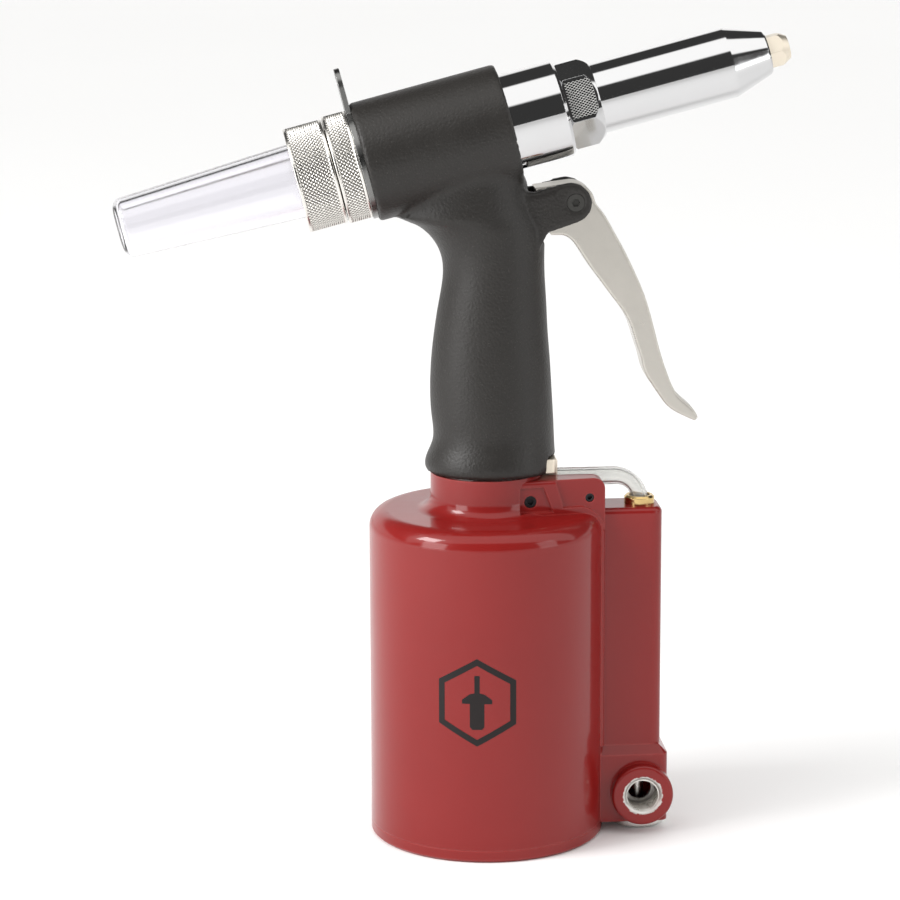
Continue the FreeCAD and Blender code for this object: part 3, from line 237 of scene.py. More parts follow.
# The head tilts about the point at HEAD_Z on the cylinder's axis.
HEAD_SLIDE = next(j for j in frame["joints"] if j["name"] == "head_piston_slide")["axis"]
HEAD_TILT = math.atan2(-HEAD_SLIDE[2], -HEAD_SLIDE[0])
HEAD_Z = 0.2498


def head_coordinates(tree):
    """Object coordinates turned so that X runs along the tilted head."""
    place = node(tree, "TexCoord").outputs["Object"]
    return node(tree, "VectorRotate", {"rotation_type": "Y_AXIS"}, Vector=place, Center=(0, 0, HEAD_Z),
                Angle=HEAD_TILT).outputs[0]


def toned(colour, gain):
    """Colour times gain, at most white, with a full alpha."""
    return tuple(min(1.0, part * gain) for part in colour) + (1.0,)


def bumped(tree, height, depth, normal=None, invert=False):
    """Normal after a bump of the given depth in metres, laid over the normal given."""
    made = node(tree, "Bump", {"invert": invert}, Strength=1.0, Distance=depth, Height=height)
    if normal is not None:
        tree.links.new(normal, made.inputs["Normal"])
    return made.outputs[0]


def finish(name, colour, tone=0.06, rough=(0.25, 0.4), cloud_scale=60.0, line_pitch=0.0, line_depth=0.0,
           grain_scale=900.0, grain_depth=0.0, edge=0.0, edge_gain=0.0, **sockets):
    """General finish: cloudy tone and roughness, turned lines, fine grain, and soft edges painted lighter as
    a highlight.

    Tone is the share by which the colour varies; edge_gain is the share by which edges are painted lighter,
    as a painted highlight; depths and radii are in metres."""
    made, tree, shader = new_material(name, **sockets)
    place = head_coordinates(tree)
    clouds = use_group(tree, handling, Coordinates=place, Scale=cloud_scale, Low=rough[0], High=rough[1])
    tree.links.new(clouds.outputs["Value"], shader.inputs["Roughness"])
    mixed = mix(tree, "RGBA", clouds.outputs["Height"], toned(colour, 1 - tone), toned(colour, 1 + tone))
    normal = None
    if edge:
        edges = use_group(tree, soft_edges, Radius=edge)
        normal = edges.outputs["Normal"]
        # Painted highlight: edges take a lighter copy of the colour.
        mixed = mix(tree, "RGBA", edges.outputs["Edge"], mixed, toned(colour, 1 + edge_gain))
    tree.links.new(mixed, shader.inputs["Base Color"])
    if line_depth:
        lines = use_group(tree, turned_lines, Coordinates=place, Pitch=line_pitch).outputs[0]
        normal = bumped(tree, lines, line_depth, normal)
    if grain_depth:
        grain = node(tree, "TexNoise", Vector=place, Scale=grain_scale, Detail=3.0).outputs["Fac"]
        normal = bumped(tree, grain, grain_depth, normal)
    if normal is not None:
        tree.links.new(normal, shader.inputs["Normal"])
    return made


def dress(material, *names):
    """Give carried-over nodes their finish."""
    for name in names:
        for slot in frame["nodes"][name].material_slots:
            slot.material = material


# ---------------------------------------------------------------- painted cylinder and base cap
# Aluminium casting with the air cylinder, neck, valve column and inlet in one,
# spray painted red; the cap screws in from below and is painted to match. The
# inlet's bore is bare, with a ragged edge of paint.
PAINT_DEEP, PAINT_LIGHT = (0.165, 0.0060, 0.0052, 1), (0.215, 0.0095, 0.0084, 1)
# A lighter red laid on the edges as a painted highlight.
PAINT_EDGE_HIGHLIGHT = (0.30, 0.028, 0.024, 1)
BARE_CASTING = (0.62, 0.60, 0.57, 1)
INLET_X, INLET_Z = 0.054, 0.0145
BARE_R, RAGGED_BY, RAGGED_SOFT = 0.0062, 0.0016, 0.0002
BARE_FROM_Y, BARE_FULL_Y = -0.004, -0.006
PEEL_DEPTH = 0.000012
red_paint, tree, shader = new_material("red_paint", Coat_Weight=0.60, Coat_Roughness=0.10, Coat_IOR=1.5,
                                       Specular_IOR_Level=0.10)
place = node(tree, "TexCoord").outputs["Object"]
clouds = use_group(tree, handling, Coordinates=place, Scale=18.0, Low=0.30, High=0.42)
edges = use_group(tree, soft_edges, Radius=0.0009)
deep = mix(tree, "RGBA", clouds.outputs["Height"], PAINT_DEEP, PAINT_LIGHT)
# Edges take the lighter red: a painted highlight.
edge_lit = mix(tree, "RGBA", edges.outputs["Edge"], deep, PAINT_EDGE_HIGHLIGHT)
spot = node(tree, "SeparateXYZ", Vector=place)
off_x = math_node(tree, "SUBTRACT", spot.outputs["X"], INLET_X)
off_z = math_node(tree, "SUBTRACT", spot.outputs["Z"], INLET_Z)
squares = [math_node(tree, "MULTIPLY", off, off) for off in (off_x, off_z)]
reach = math_node(tree, "SQRT", math_node(tree, "ADD", *squares))
ragged = node(tree, "TexNoise", Vector=place, Scale=900.0, Detail=4.0).outputs["Fac"]
rim = math_node(tree, "ADD", BARE_R, math_node(tree, "MULTIPLY", ragged, RAGGED_BY))
inside = soft_step(tree, math_node(tree, "SUBTRACT", reach, rim), RAGGED_SOFT, -RAGGED_SOFT)
open_end = soft_step(tree, spot.outputs["Y"], BARE_FROM_Y, BARE_FULL_Y)
bare = math_node(tree, "MULTIPLY", inside, open_end)
tree.links.new(mix(tree, "RGBA", bare, edge_lit, BARE_CASTING), shader.inputs["Base Color"])
tree.links.new(bare, shader.inputs["Metallic"])
tree.links.new(clouds.outputs["Value"], shader.inputs["Roughness"])
peel = node(tree, "TexNoise", Vector=place, Scale=420.0, Detail=2.0).outputs["Fac"]
tree.links.new(bumped(tree, peel, PEEL_DEPTH, edges.outputs["Normal"]), shader.inputs["Normal"])
dress(red_paint, "cylinder_casting", "base_cap")


def settle(piece, body, replaces=()):
    """Fix a finished piece to its body, and say what it stands for."""
    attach(piece, body)
    if replaces:
        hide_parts(*replaces)


def quad_piece(name, vertices, quads, material, sharp):
    """Object from vertices in metres and quads; doubled vertices at seams and poles are merged."""
    mesh = bpy.data.meshes.new(name)
    mesh.vertices.add(len(vertices))
    mesh.vertices.foreach_set("co", vertices.ravel().astype(np.float32))
    mesh.loops.add(quads.size)
    mesh.loops.foreach_set("vertex_index", quads.ravel().astype(np.int32))
    mesh.polygons.add(len(quads))
    mesh.polygons.foreach_set("loop_start", np.arange(0, quads.size, 4, dtype=np.int32))
    mesh.update(calc_edges=True)
    work = bmesh.new()
    work.from_mesh(mesh)
    bmesh.ops.remove_doubles(work, verts=work.verts, dist=2e-7)
    work.to_mesh(mesh)
    work.free()
    mesh.polygons.foreach_set("use_smooth", np.ones(len(mesh.polygons), bool))
    mesh.set_sharp_from_angle(angle=math.radians(sharp))
    mesh.materials.append(material)
    piece = bpy.data.objects.new(name, mesh)
    scene.collection.objects.link(piece)
    return piece


def grid_piece(name, points, material, body, replaces=(), wrap_rows=False, wrap_columns=False,
               sharp=35.0):
    """Piece from a grid of points in millimetres [rows, columns, xyz], settled on its body.

    Quad (i, j) joins rows i, i+1 and columns j, j+1, and a wrapped direction closes on itself. The quads
    are turned over when the sum of a.(b x c) + a.(c x d), six times the closed volume, is negative."""
    rows, columns = points.shape[:2]
    i, j = np.meshgrid(np.arange(rows if wrap_rows else rows - 1),
                       np.arange(columns if wrap_columns else columns - 1), indexing="ij")
    i1, j1 = (i + 1) % rows, (j + 1) % columns
    corners = [i * columns + j, i * columns + j1, i1 * columns + j1, i1 * columns + j]
    quads = np.stack(corners, -1).reshape(-1, 4)
    vertices = points.reshape(-1, 3) * 0.001
    a, b, c, d = (vertices[quads[:, k]] for k in range(4))
    volume = np.einsum("ij,ij->i", a, np.cross(b, c)).sum() + np.einsum("ij,ij->i", a, np.cross(c, d)).sum()
    if volume < 0:
        quads = quads[:, ::-1]
    piece = quad_piece(name, vertices, quads, material, sharp)
    settle(piece, body, replaces)
    return piece


# ---------------------------------------------------------------- printed badge
# A plain six-sided badge with the outline of a blind rivet, screen printed in
# black on the front of the cylinder.
BADGE_BEARING = math.radians(-10.1)
BADGE_Z, BADGE_R = 57.8, 41.0
PRINT_SUNK, PRINT_PROUD = -0.05, 0.06
PRINT_STEPS, OUTLINE_POINTS = 6, 240
badge_black = finish("badge_black", (0.010, 0.007, 0.007), tone=0.3, rough=(0.30, 0.42), cloud_scale=200,
                     grain_scale=3000, grain_depth=0.00001, Specular_IOR_Level=0.25)


def on_cylinder(across, height, lift):
    """Point at arc length across and height above the badge's centre, wrapped on the cylinder.

    The bearing is that of the centre plus across / radius."""
    turn = BADGE_BEARING + across / BADGE_R
    radius = BADGE_R + lift
    return np.stack([radius * np.sin(turn), -radius * np.cos(turn), BADGE_Z + height], -1)


def printed_shape(name, outer, inner):
    """Film between two closed outlines with the same number of points, wrapped on the cylinder.

    A point is inner * (1 - s) + outer * s. The film's section is a loop: the bottom from s = 0 to 1,
    then the top from 1 to 0."""
    steps = np.linspace(0, 1, PRINT_STEPS)
    across = np.concatenate([steps, steps[::-1]])[:, None, None]
    lift = np.repeat([PRINT_SUNK, PRINT_PROUD], PRINT_STEPS)[:, None]
    flat = inner[None] * (1 - across) + outer[None] * across
    points = on_cylinder(flat[..., 0], flat[..., 1], lift + 0 * flat[..., 0])
    grid_piece(name, points, badge_black, "frame", wrap_rows=True, wrap_columns=True)


def ring_outline(radius, sides, turn):
    """Regular polygon outline: radius times cos(pi/n) / cos(angle folded into one side)."""
    angle = np.linspace(0, 2 * np.pi, OUTLINE_POINTS, endpoint=False)
    folded = np.mod(angle - turn, 2 * np.pi / sides) - np.pi / sides
    reach = radius * np.cos(np.pi / sides) / np.cos(folded)
    return np.stack([reach * np.cos(angle), reach * np.sin(angle)], -1)


def resampled(corners):
    """Closed outline through the corners, resampled evenly by arc length."""
    loop = np.array(list(corners) + [corners[0]], float)
    length = np.concatenate([[0], np.cumsum(np.hypot(*np.diff(loop, axis=0).T))])
    at = np.linspace(0, length[-1], OUTLINE_POINTS, endpoint=False)
    return np.stack([np.interp(at, length, loop[:, 0]), np.interp(at, length, loop[:, 1])], -1)


POINT_UP = math.radians(30)
RING_OUT, RING_IN = 15.6, 13.2
printed_shape("badge_border", ring_outline(RING_OUT, 6, POINT_UP), ring_outline(RING_IN, 6, POINT_UP))
RIVET_OUTLINE = [(-5.2, 1.0), (-2.6, 3.0), (-0.9, 3.4), (-0.9, 9.6), (0.9, 9.6), (0.9, 3.4), (2.6, 3.0),
                 (5.2, 1.0), (5.2, -0.4), (2.5, -0.4), (2.5, -8.6), (1.7, -9.6), (-1.7, -9.6), (-2.5, -8.6),
                 (-2.5, -0.4), (-5.2, -0.4)]
SPINE_LOW, SPINE_HIGH = -9.0, 9.2
outline = resampled(RIVET_OUTLINE)
spine = np.stack([0 * outline[:, 0], np.clip(outline[:, 1], SPINE_LOW, SPINE_HIGH)], -1)
printed_shape("badge_rivet", outline, spine)

# ---------------------------------------------------------------- inlet thread
# Quarter-inch pipe thread, cut into the bare casting of the inlet so that its
# crests shine.
THREAD_PITCH, THREAD_DEPTH = 1.337, 0.52
THREAD_ROOT_R, THREAD_WALL_R = 5.82, 5.84
THREAD_FRONT, THREAD_END = -15.1, -6.9
THREAD_AROUND, THREAD_ALONG = 96, 90
bare_metal = finish("bare_metal", (0.66, 0.64, 0.60), tone=0.12, rough=(0.22, 0.40), cloud_scale=300,
                    grain_scale=2500, grain_depth=0.00002, Metallic=1.0)


def in_inlet(radius, turn, depth):
    """Points round the inlet's axis, which runs along y."""
    x = INLET_X * 1000 + radius * np.cos(turn)
    return np.stack([x, depth + 0 * x, INLET_Z * 1000 + radius * np.sin(turn)], -1)


turn = np.linspace(0, 2 * np.pi, THREAD_AROUND, endpoint=False)[None, :]
depth = np.linspace(THREAD_FRONT, THREAD_END, THREAD_ALONG)[:, None]
phase = np.mod(depth / THREAD_PITCH - turn / (2 * np.pi), 1.0)
crest = THREAD_ROOT_R - THREAD_DEPTH * (1 - np.abs(2 * phase - 1))
threaded, wall = in_inlet(crest, turn, depth), in_inlet(THREAD_WALL_R + 0 * crest, turn, depth)
grid_piece("inlet_thread", np.concatenate([threaded, wall[::-1]]), bare_metal, "frame",
           wrap_rows=True, wrap_columns=True, sharp=60)

# ---------------------------------------------------------------- screws and seals
# Socket screws in blackened steel close the drilled ways; the seals are black
# nitrile rubber, with a light bloom.
black_steel = finish("black_steel", (0.030, 0.030, 0.032), tone=0.25, rough=(0.30, 0.45), cloud_scale=400,
                     edge=0.0002, edge_gain=2.0, Metallic=0.9)
seal_rubber = finish("seal_rubber", (0.028, 0.028, 0.030), tone=0.25, rough=(0.5, 0.7), cloud_scale=300,
                     grain_scale=4000, grain_depth=0.00002)
dress(black_steel, "port_screw", "drill_screw")
dress(seal_rubber, "base_cap_oring", "base_bumper", "plug_oring", "ram_seal", "rod_seal", "front_gland_oring",
      "piston_seal_a", "piston_seal_b", "air_piston_seal", "spool_seal_low", "spool_seal_high",
      "bottle_gasket", "pilot_seal")

# ---------------------------------------------------------------- air piston, ram and return spring
# Turned aluminium piston on a ground steel ram, and the turned parts of the same
# two metals; a coil spring brings the piston back, 19 of its 89 mm long at full
# stroke.
machined = finish("machined_aluminium", (0.76, 0.75, 0.72), tone=0.05, rough=(0.22, 0.34), cloud_scale=80,
                  line_pitch=0.0004, line_depth=0.00002, edge=0.0003, edge_gain=0.1, Metallic=1.0)
ground = finish("ground_steel", (0.60, 0.60, 0.60), tone=0.06, rough=(0.18, 0.30), cloud_scale=90,
                line_pitch=0.0002, line_depth=0.00001, edge=0.0002, edge_gain=0.2, Metallic=1.0)
spring_steel = finish("spring_steel", (0.40, 0.40, 0.42), tone=0.12, rough=(0.28, 0.42), cloud_scale=250,
                      grain_scale=2500, grain_depth=0.00001, Metallic=1.0)
dress(machined, "air_piston", "handle_casting", "valve_plug", "valve_spool")
dress(ground, "ram_rod", "piston_nut", "handle_nut", "oil_tube", "head_piston", "mandrel_tube", "jaw_case",
      "jaw_pusher", "jaw_1", "jaw_2", "jaw_3", "pilot_stem", "pin_clip")


def spring_points(radius, wire, low, high, turns, around=16, each=48):
    """Tube of the wire's radius along a helix of even pitch, its end rings drawn to a point.

    At angle t the tube's ring stands on the radial and axial directions of the helix there."""
    count = int(turns * each)
    whole = 2 * np.pi * turns
    t = np.concatenate([[0], np.linspace(0, whole, count), [whole]])[:, None]
    size = np.concatenate([[0], np.full(count, wire), [0]])[:, None]
    a = np.linspace(0, 2 * np.pi, around, endpoint=False)[None, :]
    reach = radius + size * np.cos(a)
    level = low + wire + (high - low - 2 * wire) * t / whole + size * np.sin(a)
    return np.stack([reach * np.cos(t), reach * np.sin(t), level], -1)


def spring_piece(name, points, body, node_name):
    """Coil spring in place of the plain node."""
    return grid_piece(name, points, spring_steel, body, [node_name], wrap_columns=True)


coils = spring_points(radius=27.0, wire=1.6, low=23.0, high=112.0, turns=6.0)
spring = spring_piece("return_spring_coils", coils, "frame", "return_spring")
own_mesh(spring)

# ---------------------------------------------------------------- grip moulding
# Black rubber moulding over the aluminium handle and head barrel, with a fine
# pebbled grain and softly rounded junctions.
GRIP_DARK, GRIP_LIGHT = (0.0115, 0.0100, 0.0088, 1), (0.0185, 0.0165, 0.0145, 1)
GRIP_DUST = (0.060, 0.058, 0.052, 1)
DUST_NONE, DUST_FULL = 0.62, 0.78
PEBBLE_DEPTH, DUST_DEPTH = 0.00010, 0.00003
grip_rubber, tree, shader = new_material("grip_rubber", Specular_IOR_Level=0.38)
place = node(tree, "TexCoord").outputs["Object"]
clouds = use_group(tree, handling, Coordinates=place, Scale=30.0, Low=0.40, High=0.52)
tone = mix(tree, "RGBA", clouds.outputs["Height"], GRIP_DARK, GRIP_LIGHT)
pebbles = node(tree, "TexVoronoi", {"feature": "SMOOTH_F1"}, Vector=place, Scale=1100.0, Smoothness=0.6)
dust = node(tree, "TexNoise", Vector=place, Scale=2600.0, Detail=3.0).outputs["Fac"]
dusty = mix(tree, "RGBA", soft_step(tree, dust, DUST_NONE, DUST_FULL), tone, GRIP_DUST)
tree.links.new(dusty, shader.inputs["Base Color"])
tree.links.new(clouds.outputs["Value"], shader.inputs["Roughness"])
pebbled = bumped(tree, pebbles.outputs["Distance"], PEBBLE_DEPTH, invert=True)
tree.links.new(bumped(tree, dust, DUST_DEPTH, pebbled), shader.inputs["Normal"])

SKIN_VOXEL = 0.00085
shell = frame["nodes"]["grip_sleeve"].data.copy()
shell.name = "grip_moulding"
shell.materials.clear()
shell.materials.append(grip_rubber)
grip = bpy.data.objects.new("grip_moulding", shell)
scene.collection.objects.link(grip)
work = bmesh.new()
work.from_mesh(shell)
bmesh.ops.remove_doubles(work, verts=work.verts, dist=1e-6)
work.to_mesh(shell)
work.free()
bpy.context.view_layer.objects.active = grip


def apply_to_grip(modifier):
    """Make a modifier's result the grip's own mesh."""
    with bpy.context.temp_override(object=grip, active_object=grip, selected_objects=[grip]):
        bpy.ops.object.modifier_apply(modifier=modifier.name)


remesh = grip.modifiers.new("even_skin", "REMESH")
remesh.mode = "VOXEL"
remesh.voxel_size = SKIN_VOXEL
smooth = grip.modifiers.new("soft_skin", "LAPLACIANSMOOTH")
smooth.iterations = 2
smooth.lambda_factor = 0.6
smooth.use_volume_preserve = True
apply_to_grip(remesh)
apply_to_grip(smooth)

# The junction of handle and head is blended: all within BLEND_REACH of BLEND_R from the head's axis and
# below the head's middle, fading out towards both ends of the head. The inner skin, the ears, and a
# strip a little wider than the trigger's room between them, stay as they are.
BLEND_R, BLEND_REACH, INNER_SKIN_R = 21.0, 9.0, 19.5
BLEND_REAR, BLEND_FRONT, BLEND_FADE = -33.5, 23.0, 3.0
BLEND_TOP, EARS_FROM_X, STRIP_HALF = -4.0, 24.0, 6.8
BLEND_LEVELS, BLEND_ROUNDS = 10, 60
spots = np.empty(3 * len(shell.vertices))
shell.vertices.foreach_get("co", spots)
x, y, z = spots.reshape(-1, 3).T * 1000
u = x * math.cos(HEAD_TILT) + (z - HEAD_Z * 1000) * math.sin(HEAD_TILT)
v = (z - HEAD_Z * 1000) * math.cos(HEAD_TILT) - x * math.sin(HEAD_TILT)
from_axis = np.hypot(y, v)
near = np.clip(1 - np.abs(from_axis - BLEND_R) / BLEND_REACH, 0, 1)
near *= (v < BLEND_TOP) * (x < EARS_FROM_X) * (from_axis > INNER_SKIN_R) * (np.abs(y) > STRIP_HALF)
near *= np.clip((u - BLEND_REAR) / BLEND_FADE, 0, 1) * np.clip((BLEND_FRONT - u) / BLEND_FADE, 0, 1)
junction = grip.vertex_groups.new(name="junction")
levels = np.round(near * BLEND_LEVELS).astype(int)
for level in range(1, BLEND_LEVELS + 1):
    junction.add(np.nonzero(levels == level)[0].tolist(), level / BLEND_LEVELS, "REPLACE")
blend = grip.modifiers.new("soft_junctions", "SMOOTH")
blend.factor = 0.5
blend.iterations = BLEND_ROUNDS
blend.vertex_group = "junction"
apply_to_grip(blend)
grip.data.polygons.foreach_set("use_smooth", np.ones(len(grip.data.polygons), bool))
settle(grip, "frame", ["grip_sleeve"])

# ---------------------------------------------------------------- signal hose and its fitting
# Clear plastic tube from the handle block to a turned brass fitting on the valve
# column; it flattens a little where it bends.
brass = finish("turned_brass", (0.60, 0.43, 0.19), tone=0.08, rough=(0.16, 0.28), cloud_scale=200,
               line_pitch=0.0003, line_depth=0.00001, edge=0.0003, edge_gain=0.2, Metallic=1.0)
dress(brass, "brass_fitting", "ram_gland", "pilot_body")
hose_plastic = finish("clear_hose", (0.90, 0.90, 0.88), tone=0.03, rough=(0.08, 0.16), cloud_scale=200,
                      Transmission_Weight=0.85, IOR=1.45)
HOSE_X, HOSE_Z = 17.6, 127.4
HOSE_R, HOSE_BORE_R = 3.175, 2.0
HOSE_STRAIGHT, HOSE_BEND_R, HOSE_DROP = 27.4, 9.0, 4.0
HOSE_ARC = HOSE_BEND_R * math.pi / 2
FLATTENED, WIDENED = 0.10, 0.08


def hose_wall(radius, count=120, around=40):
    """Tube along a straight run, a quarter circle down and a straight drop, by arc length.

    The section is an ellipse whose change from a circle goes with sin of twice the bend."""
    length = np.linspace(0, HOSE_STRAIGHT + HOSE_ARC + HOSE_DROP, count)[:, None]
    bend = np.clip((length - HOSE_STRAIGHT) / HOSE_ARC, 0, 1) * np.pi / 2
    drop = np.maximum(length - HOSE_STRAIGHT - HOSE_ARC, 0)
    x = HOSE_X + np.minimum(length, HOSE_STRAIGHT) + HOSE_BEND_R * np.sin(bend)
    z = HOSE_Z - HOSE_BEND_R * (1 - np.cos(bend)) - drop
    a = np.linspace(0, 2 * np.pi, around, endpoint=False)[None, :]
    out = radius * (1 - FLATTENED * np.sin(2 * bend)) * np.cos(a)
    wide = radius * (1 + WIDENED * np.sin(2 * bend)) * np.sin(a)
    return np.stack([x + out * np.sin(bend), wide, z + out * np.cos(bend)], -1)


grid_piece("signal_tube", np.concatenate([hose_wall(HOSE_R), hose_wall(HOSE_BORE_R)[::-1]]), hose_plastic,
           "frame", ["signal_hose"], wrap_rows=True, wrap_columns=True)

# ---------------------------------------------------------------- main valve
# Aluminium spool with rubber rings; a light spring returns it, and a threaded
# aluminium plug closes the column from below.
VALVE_X = 54.0
coils = spring_points(radius=3.6, wire=0.5, low=86.0, high=104.0, turns=6.0, around=12, each=32)
coils[..., 0] += VALVE_X
spring = spring_piece("valve_spring_coils", coils, "frame", "valve_spring")
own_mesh(spring)

# ---------------------------------------------------------------- front gland and nose
# Turned steel, polished and chrome plated; two flats of the housing's spanner
# hexagon carry a fine hatch, and a hardened nosepiece screws into its cone. The
# nosepiece and the hose block on the handle are plated in pale nickel.
CHROME = (0.60, 0.60, 0.605)
chrome = finish("chrome_plate", CHROME, tone=0.02, rough=(0.03, 0.07), cloud_scale=70,
                line_pitch=0.0003, line_depth=0.000002, edge=0.00025, edge_gain=0.1, Metallic=1.0)
nickel = finish("pale_nickel", (0.74, 0.67, 0.56), tone=0.07, rough=(0.28, 0.42), cloud_scale=250,
                grain_scale=2500, grain_depth=0.00001, edge=0.0003, edge_gain=0.2, Metallic=0.85)
hatched = finish("hatched_chrome", CHROME, tone=0.02, rough=(0.05, 0.10), cloud_scale=70,
                 edge=0.00025, edge_gain=0.1, Metallic=1.0)


def turned_to(tree, first, second, first_share, second_share):
    """Sum of two coordinates, each times its share."""
    return math_node(tree, "ADD", math_node(tree, "MULTIPLY", first, first_share),
                     math_node(tree, "MULTIPLY", second, second_share))


FLAT_TURN = math.radians(15.5)
HATCH_PITCH, HATCH_SLOPE, HATCH_DEPTH = 0.00145, 1.5, 0.00035
RIDGE_FOOT, RIDGE_TOP = 0.37, 0.44
HATCH_REAR, HATCH_FRONT = (0.0287, 0.0289), (0.0382, 0.0380)
ON_FLAT, HATCH_SIDE = (0.01285, 0.01292), (0.0064, 0.0062)
# The hatch's pits are painted dark as painted shade and its ridges pale as a painted highlight; the ridges
# are also rougher.
PIT_PAINTED_SHADE, RIDGE_PAINTED_HIGHLIGHT, RIDGE_ROUGH = (0.020, 0.020, 0.020, 1), (0.85, 0.85, 0.83, 1), 0.55
tree = hatched.node_tree
shader = tree.nodes["Principled BSDF"]
spot = node(tree, "SeparateXYZ", Vector=head_coordinates(tree))
along_head, sideways = spot.outputs["X"], spot.outputs["Y"]
level = math_node(tree, "SUBTRACT", spot.outputs["Z"], HEAD_Z)
outward = turned_to(tree, sideways, level, -math.cos(FLAT_TURN), math.sin(FLAT_TURN))
across = turned_to(tree, sideways, level, math.sin(FLAT_TURN), math.cos(FLAT_TURN))
ridges = []
for slope in (HATCH_SLOPE, -HATCH_SLOPE):
    line = math_node(tree, "MULTIPLY_ADD", across, slope, along_head)
    wave = math_node(tree, "PINGPONG", math_node(tree, "MULTIPLY", line, 1 / HATCH_PITCH), 0.5)
    ridges.append(soft_step(tree, wave, RIDGE_FOOT, RIDGE_TOP))
ridge = math_node(tree, "MAXIMUM", *ridges)
field = soft_step(tree, along_head, *HATCH_REAR)
for value, limits in ((along_head, HATCH_FRONT), (math_node(tree, "ABSOLUTE", outward), ON_FLAT),
                      (math_node(tree, "ABSOLUTE", across), HATCH_SIDE)):
    field = math_node(tree, "MULTIPLY", field, soft_step(tree, value, *limits))
pit = math_node(tree, "MULTIPLY", field, math_node(tree, "SUBTRACT", 1.0, ridge))
raised = math_node(tree, "MULTIPLY", field, ridge)
plain, plain_rough, plain_normal = (shader.inputs[socket].links[0].from_socket
                                    for socket in ("Base Color", "Roughness", "Normal"))
# Painted shade in the pits and a painted highlight on the ridges.
pale = mix(tree, "RGBA", raised, mix(tree, "RGBA", pit, plain, PIT_PAINTED_SHADE), RIDGE_PAINTED_HIGHLIGHT)
tree.links.new(pale, shader.inputs["Base Color"])
tree.links.new(mix(tree, "FLOAT", raised, plain_rough, RIDGE_ROUGH), shader.inputs["Roughness"])
cut = bumped(tree, ridge, HATCH_DEPTH, plain_normal)
tree.links.new(mix(tree, "VECTOR", field, plain_normal, cut), shader.inputs["Normal"])
dress(chrome, "front_gland")
dress(hatched, "nose_housing")
dress(nickel, "nosepiece", "signal_block")


# ---------------------------------------------------------------- pulling head inside
# Ground steel piston with a three-jaw chuck, which draws the mandrel back; a
# spring behind the pusher presses the jaws shut.
def on_head(points):
    """Turn points drawn along x, the head's axis, by its tilt: x' = x cos - z sin, z' = x sin + z cos."""
    u, y, v = points[..., 0], points[..., 1], points[..., 2]
    c, s = math.cos(HEAD_TILT), math.sin(HEAD_TILT)
    return np.stack([u * c - v * s, y, HEAD_Z * 1000 + u * s + v * c], -1)


def along_x(points):
    """Spring points drawn along z, laid along x."""
    return points[..., [2, 0, 1]]


coils = spring_points(radius=5.2, wire=0.5, low=52.0, high=57.0, turns=3.0, around=12, each=40)
spring_piece("jaw_spring_coils", on_head(along_x(coils)), "head_piston_unit", "jaw_spring")

# ---------------------------------------------------------------- hanger, end cap and collector ring
# Stamped steel hanger held under a knurled end cap; a knurled ring carries the
# bottle. Both are turned, diamond knurled and nickel plated.
# The knurl's grooves are painted darker by their depth: painted shade.
GROOVE_PAINTED_SHADE = (0.10, 0.095, 0.085, 1)
GROOVE_SHADE_FROM, GROOVE_SHADE_FULL = 0.15, 0.95
hanger_steel = finish("hanger_steel", (0.20, 0.20, 0.195), tone=0.12, rough=(0.20, 0.34), cloud_scale=150,
                      grain_scale=1500, grain_depth=0.00001, edge=0.0003, edge_gain=1.6, Metallic=1.0)
dress(hanger_steel, "hanger_plate")
knurled = finish("knurled_nickel", (0.74, 0.72, 0.68), tone=0.05, rough=(0.20, 0.32), cloud_scale=150,
                 Metallic=1.0)
tree = knurled.node_tree
base_colour = tree.nodes["Principled BSDF"].inputs["Base Color"]
groove = node(tree, "Attribute", {"attribute_name": "groove"}).outputs["Fac"]
groove_shade = soft_step(tree, groove, GROOVE_SHADE_FROM, GROOVE_SHADE_FULL)
tree.links.new(mix(tree, "RGBA", groove_shade, base_colour.links[0].from_socket, GROOVE_PAINTED_SHADE), base_colour)


CORNER_R, CORNER_STEPS = 0.35, 4
MOST_OF_RUN, SUPPORT_AT = 0.4, 0.05


def rounded_profile(corners):
    """Closed profile whose corners are quadratic arcs, (1-w)^2 first + 2w(1-w) corner + w^2 last.

    An arc takes CORNER_R of each run, at most MOST_OF_RUN of it; a support point stands just outside."""
    here = np.array(corners, float)
    before, after = np.roll(here, 1, 0) - here, np.roll(here, -1, 0) - here
    run_a, run_b = np.hypot(*before.T)[:, None], np.hypot(*after.T)[:, None]
    unit_a, unit_b = before / run_a, after / run_b
    cut = np.minimum(CORNER_R, MOST_OF_RUN * np.minimum(run_a, run_b))
    w = np.linspace(0, 1, CORNER_STEPS)[None, :, None]
    first, last = (here + unit_a * cut)[:, None], (here + unit_b * cut)[:, None]
    arc = (1 - w) ** 2 * first + 2 * w * (1 - w) * here[:, None] + w ** 2 * last
    support_a = first + unit_a[:, None] * SUPPORT_AT * cut[:, None]
    support_b = last + unit_b[:, None] * SUPPORT_AT * cut[:, None]
    return np.concatenate([support_a, arc, support_b], 1).reshape(-1, 2)


KNURL_LEAD, KNURL_DEPTH, KNURL_FADE, GROOVE_SLOPE = 1.45, 0.42, 0.5, 1.5
PER_LEAD, PER_TOOTH = 11, 8


